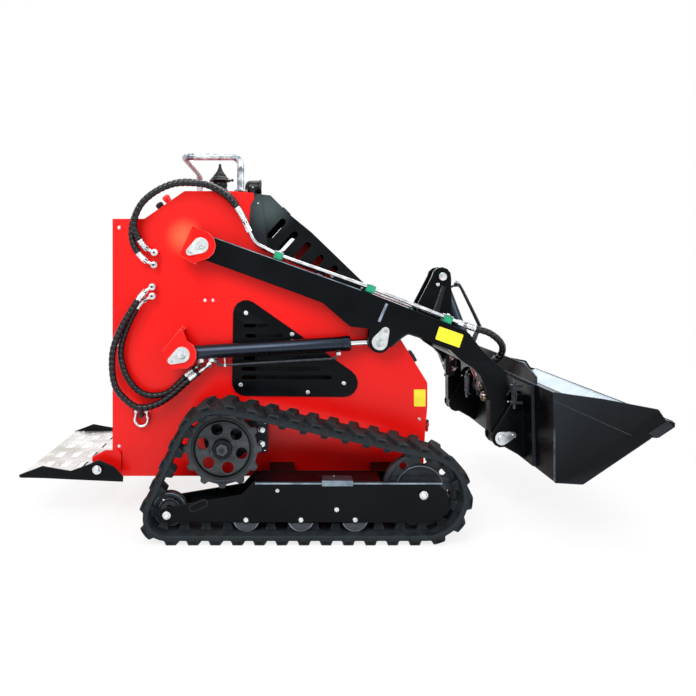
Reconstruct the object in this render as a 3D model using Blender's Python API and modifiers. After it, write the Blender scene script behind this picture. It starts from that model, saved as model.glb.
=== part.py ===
# Tracked stand-on mini skid steer loader, about 2.2 m long, modelled piece by piece.
# Metres, +Z up, +X to the bucket. Stations along X are measured from a datum plane between the
# tracks; the whole machine is then moved so that its middle stands over the origin.
# Side pieces are modelled on the right-hand side (-Y) and mirrored to the left.

import math

import bmesh
import bpy
from mathutils import Matrix, Vector

# Clearances
GAP = 0.0003
PIN_FIT = 0.0006
SINK = 0.001

# Sides of round solids
PIN_SIDES = 12
BORE_SIDES = 12
TUBE_SIDES = 16

# Body
BODY_HALF = 0.250
SIDE_T = 0.006
SHEET_T = 0.004
REAR_X = -0.6245
BELLY_Z = 0.139
REAR_TOP_Z = 1.093
CONSOLE_X = (-0.507, -0.358, -0.186)
CONSOLE_Z = 1.196
HOOD_FOOT = ((-0.102, 1.189), (-0.071, 0.978), (0.201, 0.862), (0.317, 0.821))
FRONT_LINE = ((0.317, 0.821), (0.444, 0.646), (0.543, 0.485), (0.543, 0.396), (0.535, 0.306), (0.526, 0.139))
HOOD_TOP = ((-0.095, 1.186), (-0.039, 1.180), (0.030, 1.111), (0.114, 1.042), (0.321, 0.842))
HOOD_T = 0.003
HOOD_SLOT_R = 0.012
HOOD_FLANGE = 0.030
# columns: middle x, z, length
HOOD_SLOTS = ((-0.016, 1.057, 0.094), (0.028, 1.009, 0.094), (0.080, 0.973, 0.082), (0.131, 0.929, 0.074),
              (0.186, 0.893, 0.066))
HOOD_SLOT_LEAN = math.radians(48)
# x from and to, distance in from the body's side, z from and to
ENGINE = (-0.10, 0.34, 0.075, 0.30, 0.78)
ENGINE_FOOT_OUT = 0.030
ENGINE_FOOT_IN = 0.040

# Vent plates
# columns: centre x, centre z, corner radius
VENT_ROUNDS = ((-0.133, 0.485, 0.048), (0.233, 0.485, 0.052), (-0.1295, 0.744, 0.048))
VENT_T = 0.004
VENT_LAP = 0.012
# columns: middle x, z, length
VENT_SLOTS = ((-0.092, 0.697, 0.096), (-0.062, 0.659, 0.142), (-0.037, 0.618, 0.190), (-0.020, 0.577, 0.240),
              (-0.002, 0.537, 0.292), (0.020, 0.505, 0.337))
VENT_SLOT_H = 0.014

# Lift arms
ARM_OUT = BODY_HALF + 0.060
ARM_T = 0.050
PIVOT = (-0.288, 0.991)
PIVOT_R = 0.0125
ARM_TAIL_R = 0.045
ARM_TOP = ((0.295, 0.830), (0.664, 0.6855), (0.682, 0.672), (0.726, 0.615), (0.752, 0.589),
           (0.796, 0.5535), (0.814, 0.533), (0.816, 0.450), (0.822, 0.330))
ARM_BOTTOM = ((0.757, 0.323), (0.756, 0.432), (0.7215, 0.519), (0.696, 0.547), (0.651, 0.576), (0.612, 0.613),
              (0.506, 0.655), (0.460, 0.670), (0.4315, 0.653), (0.400, 0.624))
ARM_BOTTOM_REAR = ((0.322, 0.690), (0.250, 0.698), (0.152, 0.783), (0.069, 0.8145))
TIP_PIN = (0.790, 0.300)
TIP_R = 0.031
ARM_PLAY = 0.0035
TIP_PIN_R = 0.014
EYE_PIN = (0.356, 0.642)
EYE_LUG_R = 0.040
EYE_SLOT_T = 0.036
EYE_SLOT_X = (0.20, 0.412)
EYE_SLOT_TOP = 0.694

# Brackets that hold the arm and the lift cylinder, and the teardrop keepers on their pins
BRACKET_T = 0.012
BRACKET_IN = ARM_OUT + ARM_PLAY
KEEPER_T = 0.006
KEEPER_R = 0.028
KEEPER_TIP_R = 0.0135
KEEPER_LENGTH = 0.046
LIFT_BRACKET = ((-0.318, 1.064), (-0.365, 0.958), (-0.314, 0.926))
LIFT_BRACKET_R = 0.054
CYLINDER_BASE = (-0.355, 0.599)
CYLINDER_BRACKET = ((-0.358, 0.697), (-0.426, 0.611), (-0.392, 0.545))
CYLINDER_BRACKET_R = 0.052
WEB_T = 0.010
WEB_INSET = 0.002
PIN_PROUD = 0.003
CHEEK_TURN = 22

# Lift cylinders
LIFT_Y = ARM_OUT - ARM_T / 2
LIFT_BARREL_R = 0.0265
LIFT_ROD_R = 0.0125
LIFT_BARREL_END = 0.590
LIFT_EYE_R = 0.026
LIFT_EYE_T = 0.034
LINE_R = 0.006
LINE_DROP = 0.052
LINE_FROM = 0.130
LINE_SHORT = 0.060
GLAND_T = 0.030
GLAND_PROUD = 0.002
LIFT_HIDDEN = 0.400
BORE_SPARE = 0.045

# Tower, tilt cylinder and cross members between the arms
TILT_TOP = (0.649, 0.876)
TILT_LOW = (0.822, 0.425)
TOWER_R = 0.039
TOWER_EAR = (0.034, 0.046)
TOWER_FOOT = ((0.545, 0.752), (0.600, 0.655), (0.672, 0.640), (0.690, 0.700))
CROSS_R = 0.040
CROSS_AT = (0.630, 0.655)
CROSS_LOW_AT = (0.698, 0.572)
CROSS_LOW_R = 0.018
TILT_BARREL_R = 0.028
TILT_ROD_R = 0.014
TILT_BARREL_END = 0.375
TILT_EYE_R = 0.024
TILT_PIN_R = 0.012
TILT_EYE_T = 0.050
TILT_PIN_PROUD = 0.012
TILT_HIDDEN = 0.195

# Attach plate and bucket
PLATE_T = 0.012
PLATE_Z = (0.222, 0.498)
PLATE_HALF = 0.400
EAR_T = 0.012
EAR_OUT = ((0.848, 0.456), (0.761, 0.320))
EAR_R = 0.034
TILT_EAR = 0.030
TILT_EAR_T = 0.010
TILT_LUG_R = 0.026
TILT_LUG_HALF = 0.055
BUCKET_HALF = 0.547
BUCKET_T = 0.006
BUCKET_CHEEK_T = 0.010
BUCKET_LIP = (1.1975, 0.361)
BUCKET_HEEL = (0.975, 0.211)
BUCKET_SIDE = ((0.879, 0.508), (1.046, 0.485), (1.220, 0.452), (1.242, 0.419), (1.273, 0.410), (1.273, 0.396),
               (1.220, 0.361), BUCKET_LIP, BUCKET_HEEL, (0.885, 0.216))
BUCKET_HEM = (0.030, -0.003)
SHELL_INSET = 0.002
EDGE_X = (1.150, 1.2735)
EDGE_T = 0.014
EDGE_BEVEL = 0.030
WEAR_T = 0.003
WEAR_PLATE = ((1.184, 0.376), (1.211, 0.3605), (1.266, 0.397), (1.246, 0.417))
GUARD_HALF = (0.410, 0.300)
GUARD_Z = (0.535, 0.566)
GUARD_T = 0.005
GUARD_LAP = 0.006

# Platform
PLATFORM_HALF = BODY_HALF + 0.0575
RAIL_T = 0.005
RAIL_TOP = ((-0.948, 0.162), (-0.905, 0.178), (-0.863, 0.194), (-0.810, 0.184), (-0.761, 0.176),
            (-0.700, 0.198), (-0.658, 0.216), (-0.603, 0.191), (-0.5705, 0.1545))
RAIL_BOTTOM = ((-0.572, 0.137), (-0.687, 0.142), (-0.858, 0.150), (-0.944, 0.152))
FOLD_PIN = (-0.662, 0.184)
FOLD_PIN_R = 0.008
FOLD_PIN_PROUD = 0.010
FOLD_LUG_T = 0.012
# columns: x and z from the fold pin, corner radius
FOLD_LUG = ((-0.036, 0.028, 0.010), (-0.026, -0.029, 0.008), (0.072, -0.033, 0.006), (0.072, 0.052, 0.012),
            (0.012, 0.052, 0.012))
DECK_T = 0.003
DECK_X = (-0.938, -0.736)
DECK_HALF = PLATFORM_HALF - 0.0115
DECK_TONGUE = (-0.676, 0.240)
DECK_BAR = 0.016
DECK_BAR_T = 0.010
# columns: first middle, step, half length, holes
DECK_HOLES_X = (-0.883, 0.064, 0.015, 3)
DECK_HOLES_Y = (-0.190, 0.127, 0.035, 4)

# Tracks and what carries them
TRACK_IN = BODY_HALF + 0.090
TRACK_W = 0.180
TRACK_PITCH = 0.072
BELT_T = 0.015
LUG_H = 0.016
LUG_FOOT = 0.62
LUG_CROWN = 0.36
CHEVRON = 0.30
GUIDE_Y = (0.017, 0.035)
GUIDE_H = 0.024
GUIDE_TAPER = 0.55
SPROCKET = (-0.200, 0.294)
SPROCKET_R = 0.1365
SPROCKET_TEETH = 12
SPROCKET_TOOTH = 0.020
SPROCKET_T = 0.018
# columns: turn from the tooth's middle in pitches, share of the tooth's height
SPROCKET_FORM = ((-0.36, 0.0), (-0.20, 0.0), (-0.09, 1.0), (0.09, 1.0), (0.20, 0.0))
# count, ring radius, hole radius, turn of the first in degrees
SPROCKET_HOLES = (6, 0.070, 0.0216, -14)
HUB_R = 0.034
HUB_PROUD = 0.030
MOTOR_R = 0.052
MOTOR_BACK = 0.040
# x from and to, z from and to, distance out from the body's side
MOTOR_CASE = ((-0.150, -0.046), (0.250, 0.366), 0.088)
FRONT_IDLER_X = 0.473
FRONT_IDLER_R = 0.126
REAR_IDLER_X = -0.379
REAR_IDLER_R = 0.059
IDLER_T = 0.026
IDLER_RIM = 0.020
IDLER_WEB = 0.010
ROLLERS = (-0.116, 0.066, 0.246)
ROLLER_R = 0.043
ROLLER_T = 0.012
ROLLER_OUT = 0.038
FRAME_PLATES = (TRACK_IN + 0.0305, TRACK_IN + TRACK_W - 0.0305)
FRAME_T = 0.007
FRAME_TOP = 0.199
FRAME_BOTTOM = 0.064
FRAME_FRONT = 0.560
FRAME_SLOPE = ((-0.130, 0.156), (-0.090, 0.199))
FRAME_REAR = -0.330
FRAME_END_R = 0.024
FRAME_COVER_T = 0.007
FRAME_COVER_END = 0.335
AXLE_R = 0.014
AXLE_PROUD = 0.005
MOUNTS = (-0.040, 0.330)
# length, z from and to
MOUNT = (0.090, 0.145, 0.192)

# Controls
HANDLE_R = 0.0125
HANDLE_X = (-0.151, -0.362)
HANDLE_Z = 1.3285
HANDLE_HALF = BODY_HALF - 0.030
HANDLE_BEND = 0.035
HANDLE_NIP = 0.010
FLANGE_R = 0.026
FLANGE_T = 0.006
LAMP_AT = (-0.114, 1.245)
LAMP_R = 0.042
LAMP_BACK_R = 0.034
LAMP_X = (-0.030, 0.034)
LAMP_POST_R = 0.008
JOYSTICK_AT = (-0.235, 0.045)
# columns of each stack: height from, to, radius at the foot, at the head
JOYSTICK = ((0.0, 0.012, 0.048, 0.048), (0.011, 0.100, 0.040, 0.014), (0.090, 0.150, 0.014, 0.019))
LEVER = ((0.0, 0.008, 0.020, 0.020), (0.004, 0.075, 0.006, 0.006), (0.060, 0.098, 0.012, 0.018))
LEVER_AT = ((-0.440, 0.100), (-0.478, 0.150))

# Hoses and pipes
HOSE_R = 0.011
FITTING_R = 0.012
PIPE_R = 0.007
HOSE_OUT = BODY_HALF + 0.018
HOSE_STEP = 0.055
HOSE_LEAD = 0.045
PIPE_START = (-0.1255, 1.066)
PIPE_Y = (ARM_OUT - 0.0135, ARM_OUT - 0.0375)
PIPE_BENDS = ((-0.098, 1.010), (-0.060, 0.985))
PIPE_STOPS = (-0.010, 0.290, 0.640)
PIPE_CLAMPS = (0.010, 0.320, 0.600)
PIPE_RISE = 0.012
CLAMP_LENGTH = 0.032
CLAMP_LID = 0.004
PORT_ALONG = (0.062, 0.100)
PORT_DROP = 0.042
HOSE_SEAT = 0.00115
PORT_R = 0.010
HOSE_FITTINGS = ((-0.462, 0.967), (-0.464, 0.922), (-0.470, 0.842), (-0.470, 0.808))
# columns of each route: x, z, distance out from the body's side
HOSE_ROUTES = (
    ("upper_hose_rear", ((-0.500, 0.990, 0.033), (-0.533, 1.060, 0.048), (-0.512, 1.130, 0.058),
                         (-0.462, 1.180, 0.06), (-0.394, 1.212, 0.06), (-0.327, 1.217, 0.06),
                         (-0.259, 1.207, 0.058), (-0.190, 1.165, 0.052))),
    ("upper_hose_front", ((-0.506, 0.940, 0.031), (-0.548, 1.000, 0.029), (-0.551, 1.075, 0.026),
                          (-0.515, 1.150, 0.024), (-0.455, 1.199, 0.022), (-0.385, 1.227, 0.018),
                          (-0.318, 1.230, 0.015), (-0.250, 1.213, 0.0145), (-0.185, 1.170, 0.018))),
    ("lower_hose_rear", ((-0.496, 0.823, 0.04), (-0.530, 0.775, 0.053), (-0.585, 0.680, 0.053),
                         (-0.611, 0.590, 0.053), (-0.600, 0.485, 0.053), (-0.545, 0.420, 0.053),
                         (-0.470, 0.400, 0.052), (-0.350, 0.420, 0.048), (-0.275, 0.470, 0.04))),
    ("lower_hose_front", ((-0.515, 0.780, 0.0293), (-0.560, 0.700, 0.0293), (-0.586, 0.610, 0.0293),
                          (-0.572, 0.530, 0.0293), (-0.520, 0.470, 0.0293), (-0.440, 0.450, 0.0293),
                          (-0.340, 0.478, 0.032))),
)

loader = bpy.data.collections.new("mini_skid_steer_loader")


def clear_scene():
    for old in list(bpy.data.objects):
        bpy.data.objects.remove(old, do_unlink=True)
    bpy.context.scene.collection.children.link(loader)


def material(name, colour, roughness, metallic):
    made = bpy.data.materials.new(name)
    made.use_nodes = True
    shader = made.node_tree.nodes["Principled BSDF"]
    shader.inputs["Base Color"].default_value = (*colour, 1.0)
    shader.inputs["Roughness"].default_value = roughness
    shader.inputs["Metallic"].default_value = metallic
    made.diffuse_color = (*colour, 1.0)
    return made


def mesh_object(mesh, name="stock"):
    made = bpy.data.objects.new(name, mesh)
    loader.objects.link(made)
    return made


def baked(source):
    """The object as it evaluates, as one welded mesh in machine coordinates."""
    bpy.context.view_layer.update()
    graph = bpy.context.evaluated_depsgraph_get()
    mesh = bpy.data.meshes.new_from_object(source.evaluated_get(graph))
    mesh.transform(source.matrix_world)
    form = bmesh.new()
    form.from_mesh(mesh)
    bmesh.ops.remove_doubles(form, verts=form.verts, dist=0.00001)
    bmesh.ops.recalc_face_normals(form, faces=form.faces)
    form.to_mesh(mesh)
    form.free()
    bpy.data.objects.remove(source, do_unlink=True)
    return mesh_object(mesh)


def boolean(body, tool, operation):
    change = body.modifiers.new(operation.lower(), "BOOLEAN")
    change.operation = operation
    change.solver = "EXACT"
    change.object = tool
    made = baked(body)
    bpy.data.objects.remove(tool, do_unlink=True)
    return made


def fuse(first, *others):
    for other in others:
        first = boolean(first, other, "UNION")
    return first


def cut(body, *tools):
    for tool in tools:
        tool.hide_render = True
        tool.display_type = "WIRE"
        body = boolean(body, tool, "DIFFERENCE")
    return body


def from_form(form):
    bmesh.ops.recalc_face_normals(form, faces=form.faces)
    mesh = bpy.data.meshes.new("stock")
    form.to_mesh(mesh)
    form.free()
    return mesh_object(mesh)


def slab(outline, y_a, y_b, holes=()):
    """A flat plate with its outline in XZ, between two stations across the machine."""
    curve = bpy.data.curves.new("outline", "CURVE")
    curve.dimensions = "2D"
    curve.fill_mode = "BOTH"
    curve.extrude = abs(y_b - y_a) / 2
    for loop in (outline, *holes):
        spline = curve.splines.new("POLY")
        spline.points.add(len(loop) - 1)
        for point, (x, z) in zip(spline.points, loop):
            point.co = (x, z, 0.0, 1.0)
        spline.use_cyclic_u = True
    flat = mesh_object(curve)
    flat.rotation_euler = (math.pi / 2, 0.0, 0.0)
    flat.location = (0.0, (y_a + y_b) / 2, 0.0)
    return baked(flat)


def arc(centre, radius, start, end, steps):
    """Points on a circle from one angle to another, in degrees."""
    turns = [math.radians(start + (end - start) * i / steps) for i in range(steps + 1)]
    return [(centre[0] + radius * math.cos(a), centre[1] + radius * math.sin(a)) for a in turns]


def circle(centre, radius, sides=16):
    return arc(centre, radius, 0, 360 * (sides - 1) / sides, sides - 1)


def rounded(corners, steps=3):
    """An outline from (x, z, radius) corners, each turned by a fillet arc."""
    outline = []
    count = len(corners)
    for i, (x, z, radius) in enumerate(corners):
        here = Vector((x, z))
        before = (Vector(corners[i - 1][:2]) - here).normalized()
        after = (Vector(corners[(i + 1) % count][:2]) - here).normalized()
        half = before.angle(after) / 2
        reach = radius / math.tan(half)
        middle = here + (before + after).normalized() * radius / math.sin(half)
        first = here + before * reach - middle
        last = here + after * reach - middle
        turn = first.angle_signed(last)
        for k in range(steps + 1):
            spoke = first.copy()
            spoke.rotate(Matrix.Rotation(-turn * k / steps, 2))
            outline.append((middle.x + spoke.x, middle.y + spoke.y))
    return outline


def box(x, y, z):
    form = bmesh.new()
    bmesh.ops.create_cube(form, size=1.0)
    size = Vector((abs(x[1] - x[0]), abs(y[1] - y[0]), abs(z[1] - z[0])))
    middle = Vector(((x[0] + x[1]) / 2, (y[0] + y[1]) / 2, (z[0] + z[1]) / 2))
    place = Matrix.Translation(middle) @ Matrix.Diagonal(size.to_4d())
    bmesh.ops.transform(form, matrix=place, verts=form.verts)
    return from_form(form)


def bar(start, end, radius, sides=12, end_radius=None):
    """A round bar between two points, tapered where an end radius is given."""
    start, end = Vector(start), Vector(end)
    form = bmesh.new()
    bmesh.ops.create_cone(form, cap_ends=True, segments=sides, radius1=radius,
                          radius2=radius if end_radius is None else end_radius, depth=(end - start).length)
    turn = Vector((0.0, 0.0, 1.0)).rotation_difference(end - start).to_matrix().to_4x4()
    bmesh.ops.transform(form, matrix=Matrix.Translation((start + end) / 2) @ turn, verts=form.verts)
    return from_form(form)


def pin(centre, y_a, y_b, radius, sides=16):
    return bar((centre[0], y_a, centre[1]), (centre[0], y_b, centre[1]), radius, sides)


def turned(profile, centre, sides):
    """A wheel turned about an axle along Y: profile points are (radius, y)."""
    form = bmesh.new()
    points = [form.verts.new((radius, 0.0, along)) for radius, along in profile]
    for a, b in zip(points, points[1:] + points[:1]):
        form.edges.new((a, b))
    mesh = bpy.data.meshes.new("profile")
    form.to_mesh(mesh)
    form.free()
    wheel = mesh_object(mesh)
    spin = wheel.modifiers.new("turn", "SCREW")
    spin.steps = sides
    spin.render_steps = sides
    spin.use_merge_vertices = True
    spin.merge_threshold = 0.00001
    wheel.rotation_euler = (math.pi / 2, 0.0, 0.0)
    wheel.location = (centre[0], 0.0, centre[1])
    return baked(wheel)


def sheet(path, y_a, y_b, thickness):
    """A folded sheet: an open strip along an XZ path, thickened to the right of its direction."""
    form = bmesh.new()
    rows = [(form.verts.new((x, y_a, z)), form.verts.new((x, y_b, z))) for x, z in path]
    for (a, b), (c, d) in zip(rows, rows[1:]):
        form.faces.new((a, b, d, c))
    mesh = bpy.data.meshes.new("strip")
    form.to_mesh(mesh)
    form.free()
    strip = mesh_object(mesh)
    wall = strip.modifiers.new("wall", "SOLIDIFY")
    wall.thickness = thickness
    wall.offset = 1.0
    wall.use_even_offset = True
    return baked(strip)


def tube(points, radius, roundness=2):
    curve = bpy.data.curves.new("run", "CURVE")
    curve.dimensions = "3D"
    curve.bevel_depth = radius
    curve.bevel_resolution = roundness
    curve.use_fill_caps = True
    spline = curve.splines.new("POLY")
    spline.points.add(len(points) - 1)
    for point, place in zip(spline.points, points):
        point.co = (*place, 1.0)
    return baked(mesh_object(curve))


def smooth_route(knots, step):
    """Points at an even step along a smooth curve through the knots (Catmull-Rom)."""
    knots = [Vector(k) for k in knots]
    ends = [knots[0] * 2 - knots[1], *knots, knots[-1] * 2 - knots[-2]]
    fine = []
    for a, b, c, d in zip(ends, ends[1:], ends[2:], ends[3:]):
        for k in range(12):
            t = k / 12
            fine.append(0.5 * (2 * b + (c - a) * t + (2 * a - 5 * b + 4 * c - d) * t * t
                               + (3 * b - a - 3 * c + d) * t ** 3))
    fine.append(knots[-1])
    lengths = [0.0]
    for a, b in zip(fine, fine[1:]):
        lengths.append(lengths[-1] + (b - a).length)
    count = max(2, round(lengths[-1] / step))
    route = []
    for k in range(count + 1):
        want = lengths[-1] * k / count
        i = min(max(j for j, done in enumerate(lengths) if done <= want + 1e-9), len(fine) - 2)
        share = (want - lengths[i]) / max(lengths[i + 1] - lengths[i], 1e-9)
        route.append(fine[i].lerp(fine[i + 1], share))
    return route


def round_hull(rounds, degrees_a_step=30):
    """The outline of a belt pulled round circles (x, z, radius), listed anticlockwise."""
    normals = []
    for (ax, az, ar), (bx, bz, br) in zip(rounds, [*rounds[1:], rounds[0]]):
        run = Vector((bx - ax, bz - az))
        facing = math.atan2(run.y, run.x) - math.pi / 2 + math.asin((ar - br) / run.length)
        normals.append(math.degrees(facing))
    outline = []
    for i, (x, z, radius) in enumerate(rounds):
        start, end = normals[i - 1], normals[i]
        while end < start:
            end += 360
        outline += arc((x, z), radius, start, end, max(2, round((end - start) / degrees_a_step)))
    return outline


def keeper_outline(centre, angle):
    """A teardrop plate: a big round on the pin and a small one at its bolt."""
    turn = math.radians(angle)
    x = centre[0] + KEEPER_LENGTH * math.cos(turn)
    z = centre[1] + KEEPER_LENGTH * math.sin(turn)
    return round_hull([(*centre, KEEPER_R), (x, z, KEEPER_TIP_R)], 36)


def empty(name, x, z, parent):
    made = bpy.data.objects.new(name, None)
    made.empty_display_size = 0.1
    loader.objects.link(made)
    made.location = (x, 0.0, z)
    bpy.context.view_layer.update()
    if parent:
        made.parent = parent
        made.matrix_parent_inverse = parent.matrix_world.inverted()
    bpy.context.view_layer.update()
    return made


def keep(piece, name, paint, body):
    """Names a finished piece, paints it and hangs it on the empty of its body."""
    piece.name = name
    piece.data.name = name
    piece.data.materials.clear()
    piece.data.materials.append(paint)
    piece.data.set_sharp_from_angle(angle=math.radians(35))
    origin = body.matrix_world.translation
    piece.data.transform(Matrix.Translation(-origin))
    piece.parent = body
    return piece


def keep_pair(piece, name, paint, body, left_body=None):
    """Keeps a right-hand piece and its mirror image on the left."""
    twin = mesh_object(piece.data.copy())
    twin.data.transform(Matrix.Diagonal((1.0, -1.0, 1.0, 1.0)))
    twin.data.flip_normals()
    keep(piece, name + "_right", paint, body)
    keep(twin, name + "_left", paint, left_body or body)


def body_outline():
    console = ((CONSOLE_X[0], REAR_TOP_Z), (CONSOLE_X[1], CONSOLE_Z), (CONSOLE_X[2], CONSOLE_Z))
    return ((REAR_X, BELLY_Z), (REAR_X, REAR_TOP_Z), *console, *HOOD_FOOT, *FRONT_LINE[1:])


def side_plates(paint, chassis):
    opening = round_hull([(x, z, r - VENT_LAP) for x, z, r in VENT_ROUNDS])
    plate = slab(body_outline(), -BODY_HALF, -BODY_HALF + SIDE_T, holes=[opening])
    bosses = [pin(at, -HOSE_OUT, -BODY_HALF + SIDE_T / 2, FITTING_R, 10) for at in HOSE_FITTINGS]
    fold = FOLD_PIN
    lug = slab(rounded([(fold[0] + x, fold[1] + z, radius) for x, z, radius in FOLD_LUG]),
               -BODY_HALF - FOLD_LUG_T, -BODY_HALF + SIDE_T / 2)
    hinge = pin(fold, -PLATFORM_HALF - FOLD_PIN_PROUD, -BODY_HALF + SIDE_T / 2, FOLD_PIN_R, 10)
    plate = fuse(plate, *bosses, lug, hinge)
    keep_pair(plate, "side_plate", paint, chassis)


def body_panels(paint, chassis):
    y = BODY_HALF - SIDE_T - GAP
    t = SHEET_T
    rear = box((REAR_X, REAR_X + t), (-y, y), (BELLY_Z, REAR_TOP_Z - t - GAP))
    keep(rear, "rear_panel", paint, chassis)
    console = sheet(((REAR_X, REAR_TOP_Z), (CONSOLE_X[0], REAR_TOP_Z), (CONSOLE_X[1], CONSOLE_Z),
                     (CONSOLE_X[2], CONSOLE_Z), HOOD_FOOT[0]), -y, y, t)
    keep(console, "console_panel", paint, chassis)
    front = sheet(FRONT_LINE, -y, y, t)
    keep(front, "front_panel", paint, chassis)
    belly = box((REAR_X + t + GAP, FRONT_LINE[-1][0] - t - 3 * GAP), (-y, y), (BELLY_Z, BELLY_Z + t))
    keep(belly, "belly_plate", paint, chassis)


def hood(paint, chassis):
    foot = [(x + GAP, z + 2 * GAP) for x, z in HOOD_FOOT]
    outer = slab([*foot, *reversed(HOOD_TOP)], -BODY_HALF, BODY_HALF)
    wall = HOOD_T
    inner_top = [(x, z - wall) for x, z in HOOD_TOP]
    inner_top[0] = (HOOD_TOP[0][0] + wall, HOOD_TOP[0][1] - wall)
    inner_top[-1] = (HOOD_TOP[-1][0] - wall, HOOD_TOP[-1][1] - wall)
    below = [(x + wall, z - HOOD_FLANGE) for x, z in HOOD_FOOT[1:]]
    inner = slab([*below, *reversed(inner_top)], -BODY_HALF + wall, BODY_HALF - wall)
    cover = cut(outer, inner)
    slots = []
    for x, z, length in HOOD_SLOTS:
        angle = math.degrees(HOOD_SLOT_LEAN)
        dx = math.cos(HOOD_SLOT_LEAN) * (length / 2 - HOOD_SLOT_R)
        dz = math.sin(HOOD_SLOT_LEAN) * (length / 2 - HOOD_SLOT_R)
        ends = (arc((x + dx, z + dz), HOOD_SLOT_R, angle - 90, angle + 90, 4)
                + arc((x - dx, z - dz), HOOD_SLOT_R, angle + 90, angle + 270, 4))
        slots.append(slab(ends, -BODY_HALF - wall, BODY_HALF + wall))
    cover = cut(cover, *slots)
    keep(cover, "hood", paint, chassis)


def engine(paint, chassis):
    x_a, x_b, inset, z_a, z_b = ENGINE
    half = BODY_HALF - inset
    block = box((x_a, x_b), (-half, half), (z_a, z_b))
    wide = half + ENGINE_FOOT_OUT
    low = BELLY_Z + SHEET_T + GAP
    foot = box((x_a + ENGINE_FOOT_IN, x_b - ENGINE_FOOT_IN), (-wide, wide), (low, z_a + SINK))
    keep(fuse(block, foot), "engine_block", paint, chassis)


def vent_plates(paint, chassis):
    slots = []
    for x, z, length in VENT_SLOTS:
        half = length / 2 - VENT_SLOT_H / 2
        slots.append(arc((x + half, z), VENT_SLOT_H / 2, -90, 90, 2)
                     + arc((x - half, z), VENT_SLOT_H / 2, 90, 270, 2))
    plate = slab(round_hull(VENT_ROUNDS, 24), -BODY_HALF - GAP - VENT_T, -BODY_HALF - GAP, holes=slots)
    keep_pair(plate, "vent_plate", paint, chassis)


def pivot_bracket(name, centre, corners, radius, keeper_angle, paint, chassis):
    """Outer cheek, the web that carries it, the pin and its teardrop keeper."""
    outer = -BRACKET_IN - BRACKET_T
    top, rear, low = corners
    start = math.degrees(math.atan2(top[1] - centre[1], top[0] - centre[0])) - CHEEK_TURN
    end = math.degrees(math.atan2(low[1] - centre[1], low[0] - centre[0])) + CHEEK_TURN
    cheek = slab([top, *reversed(arc(centre, radius, end, start, 6)), low, rear], outer, -BRACKET_IN)
    along = (Vector(rear) - Vector(top)).normalized()
    side = Vector((-along.y, along.x))
    if (Vector(centre) - Vector(top)).dot(side) < 0:
        side = -side
    first = Vector(top) + along * WEB_INSET + side * WEB_INSET
    last = Vector(rear) - along * WEB_INSET + side * WEB_INSET
    web = slab([tuple(first), tuple(last), tuple(last + side * WEB_T), tuple(first + side * WEB_T)],
               -BRACKET_IN - BRACKET_T / 2, -BODY_HALF - GAP)
    rod = pin(centre, outer - KEEPER_T - PIN_PROUD, -BODY_HALF - GAP, PIVOT_R, PIN_SIDES)
    keeper = slab(keeper_outline(centre, keeper_angle), outer - KEEPER_T, outer + SINK)
    keep_pair(fuse(cheek, web, keeper, rod), name, paint, chassis)


def arm_tail():
    return arc(PIVOT, ARM_TAIL_R, 250, 75, 6)


def arms(paint, lift):
    lug = arc(EYE_PIN, EYE_LUG_R, -25, -190, 6)
    tip = arc(TIP_PIN, TIP_R, 20, -200, 6)
    outline = [*arm_tail(), *ARM_TOP, *tip, *ARM_BOTTOM, *lug, *ARM_BOTTOM_REAR]
    bore = circle(PIVOT, PIVOT_R + PIN_FIT, BORE_SIDES)
    tip_bore = circle(TIP_PIN, TIP_PIN_R + PIN_FIT, BORE_SIDES)
    inner = -ARM_OUT + ARM_T
    arm = slab(outline, -ARM_OUT, inner, holes=[bore, tip_bore])
    half = EYE_SLOT_T / 2
    slot = box(EYE_SLOT_X, (-LIFT_Y - half, -LIFT_Y + half), (EYE_PIN[1] - 2 * EYE_LUG_R, EYE_SLOT_TOP))
    arm = cut(arm, slot)
    keeper = slab(keeper_outline(EYE_PIN, 63), -ARM_OUT - KEEPER_T, -ARM_OUT + SINK)
    cap = pin(EYE_PIN, -ARM_OUT - KEEPER_T - PIN_PROUD, -ARM_OUT + SINK, PIVOT_R, PIN_SIDES)
    keep_pair(fuse(arm, keeper, cap), "lift_arm", paint, lift)


def tower(paint, lift):
    """Cross tube and low cross bar between the arms, and the two ears that hold the tilt cylinder."""
    reach = ARM_OUT - ARM_T - GAP
    frame = pin(CROSS_AT, -reach, reach, CROSS_R, TUBE_SIDES)
    start = math.degrees(math.atan2(TOWER_FOOT[-1][1] - TILT_TOP[1], TOWER_FOOT[-1][0] - TILT_TOP[0])) + 70
    ear_line = [*TOWER_FOOT, *arc(TILT_TOP, TOWER_R, start, start + 185, 6)]
    for side in (-1, 1):
        frame = fuse(frame, slab(ear_line, side * TOWER_EAR[0], side * TOWER_EAR[1]))
    wide = TOWER_EAR[1] + TILT_PIN_PROUD
    frame = fuse(frame, pin(TILT_TOP, -wide, wide, TILT_PIN_R, PIN_SIDES))
    keep(frame, "tilt_tower", paint, lift)
    keep(pin(CROSS_LOW_AT, -reach, reach, CROSS_LOW_R, PIN_SIDES), "low_cross_tube", paint, lift)


def between(start, end, distance):
    """The point at a distance from start towards end, in XZ."""
    line = (Vector(end) - Vector(start)).normalized()
    return tuple(Vector(start) + line * distance)


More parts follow.
